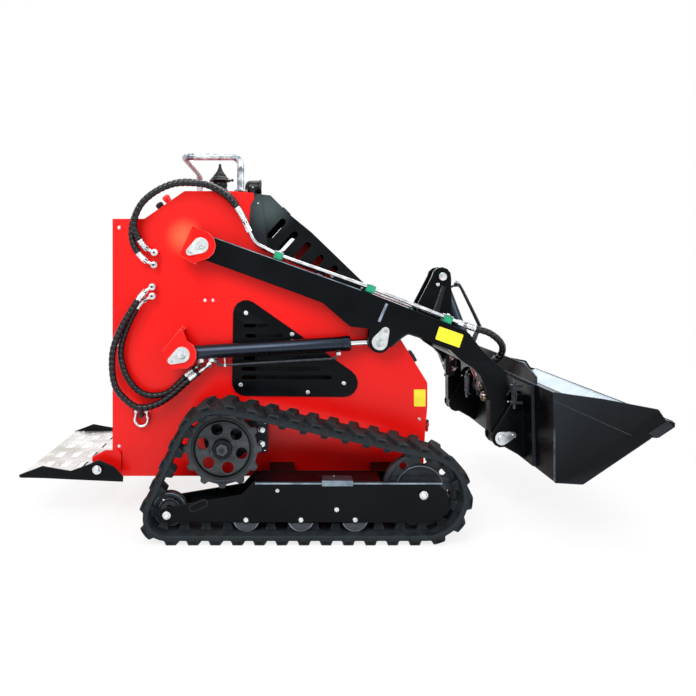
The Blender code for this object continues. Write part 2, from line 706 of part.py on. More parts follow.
def cylinder(name, base, far, y, sizes, barrel_body, rod_body, paint, chrome, line):
    """Barrel with a bored eye on its base pin, gland and steel line, and the rod with its end eye."""
    barrel_r, rod_r, barrel_end, hidden, eye_r, eye_t, base_pin_r = sizes
    length = (Vector(far) - Vector(base)).length
    near = between(base, far, eye_r * 0.7)
    stop = between(base, far, barrel_end)
    tail = between(base, far, barrel_end - GLAND_T)
    mouth = between(base, far, barrel_end - hidden - BORE_SPARE)

    def at(point, sideways=y):
        return (point[0], sideways, point[1])

    barrel = bar(at(near), at(tail), barrel_r - GLAND_PROUD, TUBE_SIDES)
    gland = bar(at(tail), at(stop), barrel_r, TUBE_SIDES)
    eye = pin(base, y - eye_t / 2, y + eye_t / 2, eye_r, TUBE_SIDES)
    barrel = fuse(barrel, gland, eye)
    barrel = cut(barrel, pin(base, y - eye_t, y + eye_t, base_pin_r + PIN_FIT, BORE_SIDES),
                 bar(at(mouth), at(between(base, far, barrel_end + GLAND_T)), rod_r + PIN_FIT, BORE_SIDES))
    if line:
        along = (Vector(far) - Vector(base)).normalized()
        down = Vector((along.y, -along.x)) * LINE_DROP
        wall = down * (barrel_r - LINE_R) / LINE_DROP
        start = Vector(between(base, far, LINE_FROM))
        end = Vector(between(base, far, barrel_end - LINE_SHORT))
        tap = Vector(tail) + wall
        run = tube([at(p) for p in (start + wall, start + down, end + down, tap)], LINE_R, 2)
        barrel = fuse(barrel, run)
        for distance in PORT_ALONG:
            foot = Vector(between(base, far, distance))
            face = foot + down * (PORT_DROP - HOSE_SEAT) / LINE_DROP
            barrel = fuse(barrel, bar(at(foot), at(face), PORT_R, 8))
    rod_start = between(base, far, barrel_end - hidden)
    rod = bar(at(rod_start), at(between(base, far, length - eye_r * 0.6)), rod_r, BORE_SIDES)
    end_eye = pin(far, y - eye_t / 2, y + eye_t / 2, eye_r, TUBE_SIDES)
    rod = fuse(rod, end_eye)
    if line:
        keep_pair(barrel, name + "_barrel", paint, barrel_body[0], barrel_body[1])
        keep_pair(rod, name + "_rod", chrome, rod_body[0], rod_body[1])
    else:
        keep(barrel, name + "_barrel", paint, barrel_body)
        keep(rod, name + "_rod", chrome, rod_body)


def attach_plate(paint, bucket):
    top, low = Vector(BUCKET_SIDE[0]), Vector(BUCKET_SIDE[-1])

    def back(z, away):
        return (low.x + (top.x - low.x) * (z - low.y) / (top.y - low.y) - away, z)

    x_a = back(PLATE_Z[1], PLATE_T + GAP)[0]
    plate = slab([back(PLATE_Z[0], GAP), back(PLATE_Z[1], GAP), back(PLATE_Z[1], PLATE_T + GAP),
                  back(PLATE_Z[0], PLATE_T + GAP)], -PLATE_HALF, PLATE_HALF)
    ear = [*arc(TIP_PIN, EAR_R, 140, 290, 5), (x_a + 0.009, PLATE_Z[0] + 0.004), (x_a + 0.009, EAR_OUT[0][1]),
           EAR_OUT[0]]
    for side in (-1, 1):
        outer = side * BRACKET_IN
        inner = side * (ARM_OUT - ARM_T - ARM_PLAY)
        keeper_end = outer + side * (EAR_T + KEEPER_T)
        plate = fuse(plate, slab(ear, outer, outer + side * EAR_T), slab(ear, inner, inner - side * EAR_T),
                     slab(keeper_outline(TIP_PIN, 8), outer + side * (EAR_T - SINK), keeper_end),
                     pin(TIP_PIN, inner - side * EAR_T, keeper_end + side * PIN_PROUD, TIP_PIN_R, PIN_SIDES))
    foot = x_a + PLATE_T / 3
    lug = [*arc(TILT_LOW, TILT_LUG_R, 80, 260, 5), (foot, TILT_LOW[1] - TILT_LUG_HALF),
           (foot, TILT_LOW[1] + TILT_LUG_HALF)]
    for side in (-1, 1):
        plate = fuse(plate, slab(lug, side * TILT_EAR, side * (TILT_EAR + TILT_EAR_T)))
    keep(plate, "attach_plate", paint, bucket)


def floor_at(x):
    """The point on the bucket's floor line at a station."""
    (x_a, z_a), (x_b, z_b) = BUCKET_HEEL, BUCKET_LIP
    return (x, z_a + (x - x_a) * (z_b - z_a) / (x_b - x_a))


def bucket_shell(paint, bucket):
    """Cheeks, a folded back and floor sheet between them, and the guard over the back edge."""
    rear_top, rear_low, heel = BUCKET_SIDE[0], BUCKET_SIDE[-1], BUCKET_HEEL
    hem = (rear_top[0] + BUCKET_HEM[0], rear_top[1] + BUCKET_HEM[1])
    path = [floor_at(EDGE_X[0]), heel, rear_low, rear_top, hem]
    shell = sheet(path, -BUCKET_HALF + SHELL_INSET, BUCKET_HALF - SHELL_INSET, BUCKET_T)
    for side in (-1, 1):
        outer = side * BUCKET_HALF
        shell = fuse(shell, slab(BUCKET_SIDE, outer - side * BUCKET_CHEEK_T, outer),
                     slab(WEAR_PLATE, outer - side * SINK, outer + side * WEAR_T))
    x = rear_top[0]
    low, middle, high = rear_top[1] - GUARD_LAP, GUARD_Z[0], GUARD_Z[1]
    form = bmesh.new()
    corners = ((-GUARD_HALF[0], low), (GUARD_HALF[0], low), (GUARD_HALF[0], middle), (GUARD_HALF[1], high),
               (-GUARD_HALF[1], high), (-GUARD_HALF[0], middle))
    face = form.faces.new([form.verts.new((x, y, z)) for y, z in corners])
    grown = bmesh.ops.extrude_face_region(form, geom=[face])
    moved = [v for v in grown["geom"] if isinstance(v, bmesh.types.BMVert)]
    bmesh.ops.translate(form, vec=(GUARD_T, 0, 0), verts=moved)
    shell = fuse(shell, from_form(form))
    keep(shell, "bucket_shell", paint, bucket)


def cutting_edge(paint, bucket):
    slope = (Vector(BUCKET_LIP) - Vector(BUCKET_HEEL)).normalized()
    side = Vector((-slope.y, slope.x))
    start = Vector(floor_at(EDGE_X[0])) + slope * GAP
    end = Vector(floor_at(EDGE_X[1]))
    inner = BUCKET_HALF - BUCKET_CHEEK_T - GAP
    blade = slab([tuple(start), tuple(end), tuple(end - slope * EDGE_BEVEL + side * EDGE_T),
                  tuple(start + side * EDGE_T)], -inner, inner)
    keep(blade, "cutting_edge", paint, bucket)


def platform(paint, steel, fold):
    bore = circle(FOLD_PIN, FOLD_PIN_R + PIN_FIT, 12)
    outline = [*RAIL_TOP, *RAIL_BOTTOM]
    frame = slab(outline, -PLATFORM_HALF, -PLATFORM_HALF + RAIL_T, holes=[bore])
    other = slab(outline, PLATFORM_HALF - RAIL_T, PLATFORM_HALF, holes=[bore])
    z = RAIL_BOTTOM[2][1]
    inner = PLATFORM_HALF - RAIL_T / 2
    low = z + SINK
    top = low + DECK_BAR_T + GAP
    bars = [box((x, x + DECK_BAR), (-inner, inner), (low, low + DECK_BAR_T))
            for x in (DECK_X[0], DECK_X[1] - DECK_BAR)]
    frame = fuse(frame, bars[0], bars[1], other)
    keep(frame, "platform_rails", paint, fold)
    tongue_x, tongue_half = DECK_TONGUE
    deck = fuse(box(DECK_X, (-DECK_HALF, DECK_HALF), (top, top + DECK_T)),
                box((DECK_X[1] - DECK_BAR, tongue_x), (-tongue_half, tongue_half), (top, top + DECK_T)))
    first_x, step_x, half_x, rows = DECK_HOLES_X
    first_y, step_y, half_y, columns = DECK_HOLES_Y
    cutters = []
    for row in range(rows):
        for column in range(columns):
            x = first_x + row * step_x
            y = first_y + column * step_y
            cutters.append(box((x - half_x, x + half_x), (y - half_y, y + half_y),
                               (top - DECK_T, top + 2 * DECK_T)))
    deck = cut(deck, *cutters)
    keep(deck, "platform_deck", steel, fold)


def track_loop():
    """Points and outward directions at half-pitch steps along the belt's inner surface, and links."""
    ground = BELT_T + LUG_H
    wheels = (
        (REAR_IDLER_X, ground + REAR_IDLER_R, REAR_IDLER_R),
        (*SPROCKET, SPROCKET_R),
        (FRONT_IDLER_X, ground + FRONT_IDLER_R, FRONT_IDLER_R),
    )
    legs = []
    for (ax, az, ar), (bx, bz, br) in zip(wheels, wheels[1:] + wheels[:1]):
        run = Vector((bx - ax, bz - az))
        # outward normal of the outer tangent, with the loop running clockwise
        facing = math.atan2(run.y, run.x) + math.pi / 2 - math.asin((ar - br) / run.length)
        out = Vector((math.cos(facing), math.sin(facing)))
        legs.append((Vector((ax, az)) + out * ar, Vector((bx, bz)) + out * br, facing))
    path = []
    for i, (start, end, facing) in enumerate(legs):
        path.append(("line", start, end, facing))
        turn_to = legs[(i + 1) % 3][2]
        while turn_to > facing:
            turn_to -= 2 * math.pi
        x, z, radius = wheels[(i + 1) % 3]
        path.append(("arc", Vector((x, z)), radius, facing, turn_to))
    lengths = []
    for part in path:
        lengths.append((part[2] - part[1]).length if part[0] == "line" else part[2] * (part[3] - part[4]))
    total = sum(lengths)
    links = round((total + 2 * math.pi * BELT_T / 2) / TRACK_PITCH)

    def place(distance):
        distance %= total
        for part, length in zip(path, lengths):
            if distance <= length:
                share = distance / length
                if part[0] == "line":
                    return part[1].lerp(part[2], share), part[3]
                angle = part[3] + (part[4] - part[3]) * share
                return part[1] + Vector((math.cos(angle), math.sin(angle))) * part[2], angle
            distance -= length
        return path[0][1], path[0][3]

    return place, total, links


def rubber_track(paint, chassis):
    """The belt is one loft: the toothed outer line shifts along the loop towards the belt's edges,
    which makes chevron lugs, and the inner line carries two rows of guide teeth."""
    place, total, links = track_loop()
    pitch = total / links
    lug_marks = ((-LUG_FOOT / 2, 0.0), (-LUG_CROWN / 2, LUG_H), (LUG_CROWN / 2, LUG_H), (LUG_FOOT / 2, 0.0))
    centre = -TRACK_IN - TRACK_W / 2
    half = TRACK_W / 2
    guide_rows = (-half, -GUIDE_Y[1], -GUIDE_Y[0], GUIDE_Y[0], GUIDE_Y[1], half)

    def point(distance, height, across):
        spot, facing = place(distance)
        return (spot.x + height * math.cos(facing), centre + across, spot.y + height * math.sin(facing))

    form = bmesh.new()
    outer = []
    for across, shift in ((-half, 0.0), (0.0, CHEVRON), (half, 0.0)):
        outer.append([form.verts.new(point((k + mark + shift) * pitch, BELT_T + height, across))
                      for k in range(links) for mark, height in lug_marks])
    inner = []
    for across in guide_rows:
        inner.append([form.verts.new(point((k + mark) * pitch, 0.0, across))
                      for k in range(links) for mark in (-0.25, 0.25)])
    for rows in (outer, inner):
        for a, b in zip(rows, rows[1:]):
            for i in range(len(a)):
                j = (i + 1) % len(a)
                form.faces.new((a[i], a[j], b[j], b[i]))
    for rim_out, rim_in in ((outer[0], inner[0]), (outer[-1], inner[-1])):
        for k in range(links):
            o = [rim_out[(4 * k + n) % (4 * links)] for n in range(5)]
            i = [rim_in[(2 * k + n) % (2 * links)] for n in range(3)]
            form.faces.new((o[0], o[1], i[0]))
            form.faces.new((o[1], o[2], i[1], i[0]))
            form.faces.new((o[2], o[3], i[1]))
            form.faces.new((o[3], o[4], i[2], i[1]))
    bmesh.ops.recalc_face_normals(form, faces=form.faces)
    grown = bmesh.ops.extrude_discrete_faces(form, faces=guide_faces(inner, links))
    for face in grown["faces"]:
        normal = face.normal.copy()
        middle = face.calc_center_median()
        for vert in face.verts:
            vert.co = middle + (vert.co - middle) * GUIDE_TAPER + normal * GUIDE_H
    keep_pair(from_form(form), "rubber_track", paint, chassis)


def guide_faces(inner, links):
    """The inner faces, one a link in each of two rows, that grow into guide teeth."""
    picked = []
    for row in (1, 3):
        for k in range(links):
            corners = (inner[row][2 * k], inner[row][2 * k + 1], inner[row + 1][2 * k])
            shared = set(corners[0].link_faces)
            for vert in corners[1:]:
                shared &= set(vert.link_faces)
            picked += shared
    return picked


def belt_sag(radius):
    """How far the belt's straight half-links cut inside the circle that they wrap, with a running gap."""
    return (TRACK_PITCH / 2) ** 2 / (8 * radius) + 2 * GAP


def drive_sprocket():
    """A toothed disc with lightening holes on its hub, and the motor and its valve case behind it."""
    centre = -TRACK_IN - TRACK_W / 2
    teeth = []
    step = 360 / SPROCKET_TEETH
    root = SPROCKET_R - SPROCKET_TOOTH - belt_sag(SPROCKET_R)
    for k in range(SPROCKET_TEETH):
        for turn, height in SPROCKET_FORM:
            angle = math.radians(step * (k + turn))
            radius = root + height * SPROCKET_TOOTH
            teeth.append((SPROCKET[0] + radius * math.cos(angle), SPROCKET[1] + radius * math.sin(angle)))
    count, ring, hole, first = SPROCKET_HOLES
    turns = [math.radians(first + 360 * k / count) for k in range(count)]
    holes = [circle((SPROCKET[0] + ring * math.cos(t), SPROCKET[1] + ring * math.sin(t)), hole, 8) for t in turns]
    disc = slab(teeth, centre - SPROCKET_T / 2, centre + SPROCKET_T / 2, holes=holes)
    hub = pin(SPROCKET, centre - HUB_PROUD, -BODY_HALF - GAP, HUB_R, PIN_SIDES)
    motor = pin(SPROCKET, centre + MOTOR_BACK, -BODY_HALF - GAP, MOTOR_R, PIN_SIDES)
    case_x, case_z, out = MOTOR_CASE
    case = box(case_x, (-BODY_HALF - out, -BODY_HALF - GAP), case_z)
    return fuse(disc, hub, motor, case)


def idler(centre_xz, radius, sides):
    centre = -TRACK_IN - TRACK_W / 2
    half, web = IDLER_T / 2, IDLER_WEB / 2
    run = radius - belt_sag(radius)
    lip = run - IDLER_RIM
    bore = AXLE_R + PIN_FIT
    profile = ((run, half), (lip, half), (lip, web), (bore, web),
               (bore, -web), (lip, -web), (lip, -half), (run, -half))
    wheel = turned(profile, centre_xz, sides)
    wheel.data.transform(Matrix.Translation((0.0, centre, 0.0)))
    return wheel


def track_frame(paint, chassis):
    """Two cheeks and a top plate over the rollers, the wheel axles, and mounts to the body."""
    ground = BELT_T + LUG_H
    nose = (FRAME_TOP - FRAME_BOTTOM) / 2
    front = arc((FRAME_FRONT - nose, FRAME_BOTTOM + nose), nose, 90, -90, 6)
    rear_at = (REAR_IDLER_X, ground + REAR_IDLER_R)
    cheek = [(FRAME_SLOPE[1][0], FRAME_TOP), *front, (FRAME_REAR, FRAME_BOTTOM),
             *arc(rear_at, FRAME_END_R, 250, 100, 4), FRAME_SLOPE[0]]
    inner, outer = FRAME_PLATES
    frame = slab(cheek, -outer, -outer + FRAME_T)
    other = slab(cheek, -inner - FRAME_T, -inner)
    back = -inner - SINK
    cover = box((FRAME_SLOPE[1][0], FRAME_COVER_END), (-outer + SINK, back),
                (FRAME_TOP - SINK - FRAME_COVER_T, FRAME_TOP - SINK))
    frame = fuse(frame, cover, other)
    centre = -TRACK_IN - TRACK_W / 2
    for x in ROLLERS:
        at = (x, ground + ROLLER_R + GAP)
        frame = fuse(frame, pin(at, -outer - AXLE_PROUD, back, AXLE_R, 8))
        for side in (-1, 1):
            y = centre + side * ROLLER_OUT
            frame = fuse(frame, pin(at, y, y + side * ROLLER_T, ROLLER_R, PIN_SIDES))
    for at in ((FRONT_IDLER_X, ground + FRONT_IDLER_R), rear_at):
        frame = fuse(frame, pin(at, -outer - AXLE_PROUD, back, AXLE_R, 8))
    length, low, high = MOUNT
    for x in MOUNTS:
        frame = fuse(frame, box((x, x + length), (back, -BODY_HALF - GAP), (low, high)))
    keep_pair(frame, "track_frame", paint, chassis)


def undercarriage(black, cast, rubber, chassis):
    ground = BELT_T + LUG_H
    track_frame(black, chassis)
    keep_pair(drive_sprocket(), "drive_sprocket", cast, chassis)
    front = idler((FRONT_IDLER_X, ground + FRONT_IDLER_R), FRONT_IDLER_R, 20)
    keep_pair(front, "front_idler", cast, chassis)
    rear = idler((REAR_IDLER_X, ground + REAR_IDLER_R), REAR_IDLER_R, 14)
    keep_pair(rear, "rear_idler", cast, chassis)
    rubber_track(rubber, chassis)


def stack(foot, up, levels, sides):
    """Round lengths one on another from a foot, each tapered from its foot to its head."""
    parts = [bar(foot + up * low, foot + up * high, start, sides, end) for low, high, start, end in levels]
    return fuse(*parts)


def controls(steel, black, chassis):
    base = CONSOLE_Z + GAP
    x_a, x_b = HANDLE_X
    half = HANDLE_HALF
    top = HANDLE_Z
    rise = [(x_a, -half, base), (x_a, -half, top - HANDLE_BEND), (x_a - HANDLE_NIP, -half, top - HANDLE_NIP),
            (x_a - HANDLE_BEND, -half, top)]
    rear = [(x_b + HANDLE_BEND, -half, top), (x_b + HANDLE_NIP, -half + HANDLE_NIP, top), (x_b, -half + HANDLE_BEND, top)]
    fall = [(x_b, half - HANDLE_BEND, top), (x_b, half - HANDLE_NIP, top - HANDLE_NIP),
            (x_b, half, top - HANDLE_BEND), (x_b, half, base)]
    bow = tube([*rise, *rear, *fall], HANDLE_R, 2)
    for x, y in ((x_a, -half), (x_b, half)):
        bow = fuse(bow, bar((x, y, base), (x, y, base + FLANGE_T), FLANGE_R, 10))
    keep(bow, "handlebar", steel, chassis)
    stick = stack(Vector((*JOYSTICK_AT, base)), Vector((0.0, 0.0, 1.0)), JOYSTICK, TUBE_SIDES)
    keep(stick, "joystick", black, chassis)
    slope = Vector((CONSOLE_X[1] - CONSOLE_X[0], 0.0, CONSOLE_Z - REAR_TOP_Z)).normalized()
    up = Vector((-slope.z, 0.0, slope.x))
    for i, (x, y) in enumerate(LEVER_AT):
        share = (x - CONSOLE_X[0]) / (CONSOLE_X[1] - CONSOLE_X[0])
        foot = Vector((x, y, REAR_TOP_Z + share * (CONSOLE_Z - REAR_TOP_Z))) + up * GAP
        keep(stack(foot, up, LEVER, 8), f"console_lever_{i + 1}", black, chassis)


def work_lamp(black, chassis):
    x, z = LAMP_AT
    (x_a, z_a), (x_b, z_b) = (CONSOLE_X[2], CONSOLE_Z), HOOD_FOOT[0]
    foot = z_a + (z_b - z_a) * (x - LAMP_POST_R - x_a) / (x_b - x_a) + GAP
    post = bar((x, 0.0, foot), (x, 0.0, z), LAMP_POST_R, 8)
    can = bar((x + LAMP_X[0], 0.0, z), (x + LAMP_X[1], 0.0, z), LAMP_BACK_R, TUBE_SIDES, LAMP_R)
    keep(fuse(can, post), "work_lamp", black, chassis)


def port(along, drop=None):
    """A point under the right-hand lift barrel, on a port's face unless another drop is given."""
    line = (Vector(EYE_PIN) - Vector(CYLINDER_BASE)).normalized()
    down = Vector((line.y, -line.x))
    return tuple(Vector(CYLINDER_BASE) + line * along + down * (PORT_DROP if drop is None else drop))


def hose_runs():
    """Each hose as its name and knots (x, y, z) on the right-hand side."""
    out = HOSE_OUT + HOSE_R + GAP
    pipe_lead = (Vector(PIPE_START) - Vector(PIPE_BENDS[0])).normalized() * HOSE_LEAD
    port_lead = (Vector(port(PORT_ALONG[0], 1.0)) - Vector(port(PORT_ALONG[0]))).normalized() * HOSE_LEAD
    ends = ((PIPE_START, PIPE_Y[0], pipe_lead), (PIPE_START, PIPE_Y[1], pipe_lead),
            (port(PORT_ALONG[1]), LIFT_Y, port_lead), (port(PORT_ALONG[0]), LIFT_Y, port_lead))
    runs = []
    for (name, middle), first, (last, away, lead) in zip(HOSE_ROUTES, HOSE_FITTINGS, ends):
        bends = [(x, z, BODY_HALF + y) for x, z, y in middle]
        flat = [(*first, out), *bends, (last[0] + lead.x, last[1] + lead.y, away), (*last, away)]
        runs.append((name, [(x, -y, z) for x, z, y in flat]))
    return runs


def hoses(paint, chassis):
    for name, knots in hose_runs():
        keep_pair(tube(smooth_route(knots, HOSE_STEP), HOSE_R, 2), name, paint, chassis)


def arm_pipes(paint, lift):
    """Two steel pipes along the top of each arm, held by three clamps that stand on it."""

    def over(x, height, along=0.0):
        line = [arm_tail()[-1], *ARM_TOP]
        i = 0 if x < ARM_TOP[0][0] else 1
        first, last = Vector(line[i]), Vector(line[i + 1])
        slope = (last - first).normalized()
        spot = first.lerp(last, (x - first.x) / (last.x - first.x))
        return spot + Vector((-slope.y, slope.x)) * height + slope * along

    clearance = PIPE_R + PIPE_RISE
    line = [over(x, clearance) for x in PIPE_STOPS]
    lead = (Vector(PIPE_BENDS[0]) - Vector(PIPE_START)).normalized()
    start = tuple(Vector(PIPE_START) + lead * 3 * GAP)
    pipes = [tube([(x, -away, z) for x, z in (start, *PIPE_BENDS, *line)], PIPE_R, 2) for away in PIPE_Y]
    half, top = CLAMP_LENGTH / 2, clearance + PIPE_R + CLAMP_LID
    clamps = []
    for x in PIPE_CLAMPS:
        outline = [tuple(over(x, height, along)) for height, along in
                   ((GAP, -half), (GAP, half), (top, half), (top, -half))]
        clamps.append(slab(outline, -ARM_OUT + SINK, -ARM_OUT + ARM_T - SINK))
    keep_pair(fuse(pipes[0], clamps[0], pipes[1], clamps[1], clamps[2]), "arm_pipes", paint, lift)


def main():
    clear_scene()
    red = material("red_powder_coat", (0.80, 0.022, 0.018), 0.30, 0.0)
    black = material("black_powder_coat", (0.008, 0.009, 0.010), 0.38, 0.0)
    cast = material("cast_iron_black", (0.012, 0.013, 0.014), 0.50, 0.6)
    rubber = material("track_rubber", (0.040, 0.046, 0.054), 0.75, 0.0)
    hose_rubber = material("hose_rubber", (0.008, 0.008, 0.009), 0.55, 0.0)
    chrome = material("chromed_rod", (0.75, 0.76, 0.78), 0.10, 1.0)
    zinc = material("zinc_plated_steel", (0.62, 0.64, 0.66), 0.35, 1.0)
    steel = material("worn_edge_steel", (0.35, 0.35, 0.36), 0.40, 1.0)
    plastic = material("black_plastic", (0.010, 0.010, 0.011), 0.45, 0.0)

    machine = empty("machine", 0.0, 0.0, None)
    chassis = empty("chassis", 0.0, 0.0, machine)
    lift = empty("lift_arms", *PIVOT, chassis)
    bucket = empty("bucket", *TIP_PIN, lift)
    fold = empty("platform", *FOLD_PIN, chassis)
    barrels = [empty("lift_barrel_" + side, *CYLINDER_BASE, chassis) for side in ("right_axis", "left_axis")]
    rods = [empty("lift_rod_" + side, *CYLINDER_BASE, barrel)
            for side, barrel in zip(("right_axis", "left_axis"), barrels)]
    tilt_barrel = empty("tilt_barrel_axis", *TILT_TOP, lift)
    tilt_rod = empty("tilt_rod_axis", *TILT_TOP, tilt_barrel)

    side_plates(red, chassis)
    body_panels(red, chassis)
    hood(black, chassis)
    engine(cast, chassis)
    vent_plates(black, chassis)
    pivot_bracket("lift_bracket", PIVOT, LIFT_BRACKET, LIFT_BRACKET_R, 212, red, chassis)
    pivot_bracket("cylinder_bracket", CYLINDER_BASE, CYLINDER_BRACKET, CYLINDER_BRACKET_R, 205, red, chassis)
    undercarriage(black, cast, rubber, chassis)
    controls(zinc, plastic, chassis)
    work_lamp(plastic, chassis)
    hoses(hose_rubber, chassis)
    arms(black, lift)
    tower(black, lift)
    arm_pipes(zinc, lift)
    cylinder("lift", CYLINDER_BASE, EYE_PIN, -LIFT_Y,
             (LIFT_BARREL_R, LIFT_ROD_R, LIFT_BARREL_END, LIFT_HIDDEN, LIFT_EYE_R, LIFT_EYE_T, PIVOT_R),
             barrels, rods, black, chrome, True)
    cylinder("tilt", TILT_TOP, TILT_LOW, 0.0,
             (TILT_BARREL_R, TILT_ROD_R, TILT_BARREL_END, TILT_HIDDEN, TILT_EYE_R, TILT_EYE_T, TILT_PIN_R),
             tilt_barrel, tilt_rod, black, chrome, False)
    attach_plate(black, bucket)
    bucket_shell(black, bucket)
    cutting_edge(steel, bucket)
    platform(black, zinc, fold)
    middle = (RAIL_TOP[0][0] + EDGE_X[1]) / 2
    machine.location.x = -middle


main()
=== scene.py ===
import math
import bmesh
import bpy
import numpy as np
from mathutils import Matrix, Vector
from mathutils.geometry import tessellate_polygon


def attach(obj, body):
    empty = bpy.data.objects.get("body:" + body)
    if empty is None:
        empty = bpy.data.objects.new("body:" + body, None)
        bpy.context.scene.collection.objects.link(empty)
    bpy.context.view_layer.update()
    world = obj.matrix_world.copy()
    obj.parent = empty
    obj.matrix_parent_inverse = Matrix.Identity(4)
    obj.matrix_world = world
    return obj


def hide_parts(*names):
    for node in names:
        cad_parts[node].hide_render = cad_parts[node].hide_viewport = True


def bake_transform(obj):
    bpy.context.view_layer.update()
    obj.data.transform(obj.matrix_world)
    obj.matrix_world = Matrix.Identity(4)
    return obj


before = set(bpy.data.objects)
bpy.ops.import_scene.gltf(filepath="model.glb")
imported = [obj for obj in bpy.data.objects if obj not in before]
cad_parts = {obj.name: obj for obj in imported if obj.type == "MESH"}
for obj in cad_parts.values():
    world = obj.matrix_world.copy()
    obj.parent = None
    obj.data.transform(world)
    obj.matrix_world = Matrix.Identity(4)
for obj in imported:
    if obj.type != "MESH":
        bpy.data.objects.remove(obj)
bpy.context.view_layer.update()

datumX = -0.16275  # the datum's place in the frame
forward, leftward, rightward, upward = (1, 0, 0), (0, 1, 0), (0, -1, 0), (0, 0, 1)
hair = 0.0001  # radius that closes a turned form on its axis

print("stage: small tools for shapes")


def unit(v):
    # each vector over its own length
    v = np.asarray(v, float)
    return v / np.linalg.norm(v, axis=-1, keepdims=True)


def gridForm(points, wrapRows=False, caps=True):
    # quads between each row and the next and each column and the next; columns always wrap round,
    # and rows either wrap too or are closed by the first and the last of them
    rows, columns = points.shape[:2]
    r, c = np.meshgrid(np.arange(rows if wrapRows else rows - 1), np.arange(columns), indexing="ij")
    r2, c2 = (r + 1) % rows, (c + 1) % columns
    corners = [r * columns + c, r2 * columns + c, r2 * columns + c2, r * columns + c2]
    faces = np.stack(corners, -1).reshape(-1, 4).tolist()
    if caps and not wrapRows:
        faces += [list(range(columns)), [(rows - 1) * columns + k for k in range(columns)]]
    return points.reshape(-1, 3), faces


def join(*forms):
    # several forms as one: their points end to end, their faces counted on from there
    points, faces, start = [], [], 0
    for p, f in forms:
        points.append(p)
        faces += [[i + start for i in face] for face in f]
        start += len(p)
    return np.concatenate(points), faces


def mirrored(form):
    # y becomes -y
    return form[0] * (1, -1, 1), form[1]


def ringAlong(path, radius, sides, across=leftward):
    # circles of the given radius square to a path: point = path + radius (cos a n1 + sin a n2)
    path = np.asarray(path, float)
    tangent = unit(np.gradient(path, axis=0))
    n1 = unit(np.asarray(across, float) - (tangent @ np.asarray(across, float))[:, None] * tangent)
    n2 = np.cross(tangent, n1)
    angle = np.arange(sides) * 2 * math.pi / sides
    radius = np.broadcast_to(np.asarray(radius, float), (len(path),)) if np.ndim(radius) < 2 else radius
    radius = radius[:, None] if np.ndim(radius) == 1 else radius
    return path[:, None] + radius[..., None] * (np.cos(angle)[None, :, None] * n1[:, None]
                                                + np.sin(angle)[None, :, None] * n2[:, None])


def tube(path, radius, sides=16, across=leftward):
    # those circles joined to a closed bar
    return gridForm(ringAlong(path, radius, sides, across))


def carried(path, radius, sides):
    # circles carried along a path that bends in space, each turned on from the last without twist
    path = np.asarray(path, float)
    tangent = unit(np.gradient(path, axis=0))
    n1 = unit(np.cross(tangent[0], (0.3, 0.9, 0.2)))
    rings, angle = [], np.arange(sides) * 2 * math.pi / sides
    for place, way in zip(path, tangent):
        n1 = unit(n1 - (n1 @ way) * way)
        n2 = np.cross(way, n1)
        rings.append(place + radius * (np.cos(angle)[:, None] * n1 + np.sin(angle)[:, None] * n2))
    return np.stack(rings)


def turned(profile, origin, axis, sides=32):
    # a profile of (radius, distance along the axis) turned round the axis
    profile = np.asarray(profile, float)
    axis = unit(axis)
    side = unit(np.cross(axis, (0.31, 0.17, 0.93) if abs(axis[2]) < 0.9 else forward))
    other = np.cross(axis, side)
    angle = np.arange(sides) * 2 * math.pi / sides
    spokes = np.cos(angle)[:, None] * side + np.sin(angle)[:, None] * other
    points = np.asarray(origin, float) + profile[:, 1, None, None] * axis + profile[:, 0, None, None] * spokes
    return gridForm(points)


def barTurned(profile, origin, axis, sides=32):
    # the same for a profile whose two ends run level to the axis, as a bar's or a nut's do
    return turned([(hair, profile[0][1]), *profile, (hair, profile[-1][1])], origin, axis, sides)


def ringTurned(profile, origin, axis, sides=32):
    # the same with a closed profile, for a wheel with a bore
    points, _ = turned(profile, origin, axis, sides)
    return gridForm(points.reshape(len(profile), sides, 3), wrapRows=True)


def smoothPath(knots, count):
    # Catmull-Rom through the knots, then even steps along its length
    knots = np.asarray(knots, float)
    ends = np.concatenate([[2 * knots[0] - knots[1]], knots, [2 * knots[-1] - knots[-2]]])
    t = np.linspace(0, 1, 24, endpoint=False)[:, None, None]
    a, b, c, d = ends[:-3], ends[1:-2], ends[2:-1], ends[3:]
    fine = 0.5 * (2 * b + (c - a) * t + (2 * a - 5 * b + 4 * c - d) * t ** 2 + (3 * b - a - 3 * c + d) * t ** 3)
    fine = np.concatenate([fine.transpose(1, 0, 2).reshape(-1, 3), knots[-1:]])
    length = np.concatenate([[0], np.cumsum(np.linalg.norm(np.diff(fine, axis=0), axis=1))])
    want = np.linspace(0, length[-1], count)
    return np.stack([np.interp(want, length, fine[:, k]) for k in range(3)], 1)


def arc(centre, radius, start, end, steps=12):
    # centre + radius (cos a, sin a), a from start to end in degrees
    angle = np.radians(np.linspace(start, end, steps + 1))
    return np.stack([centre[0] + radius * np.cos(angle), centre[1] + radius * np.sin(angle)], 1)


def circle(centre, radius, sides=32):
    return arc(centre, radius, 0, 360 - 360 / sides, sides - 1)


def spotsRound(x, z, radius, count, turn=0):
    # places evenly round a circle, the first of them turned by so many degrees
    angle = np.radians(turn + 360 * np.arange(count) / count)
    return np.stack([x + radius * np.cos(angle), z + radius * np.sin(angle)], 1)


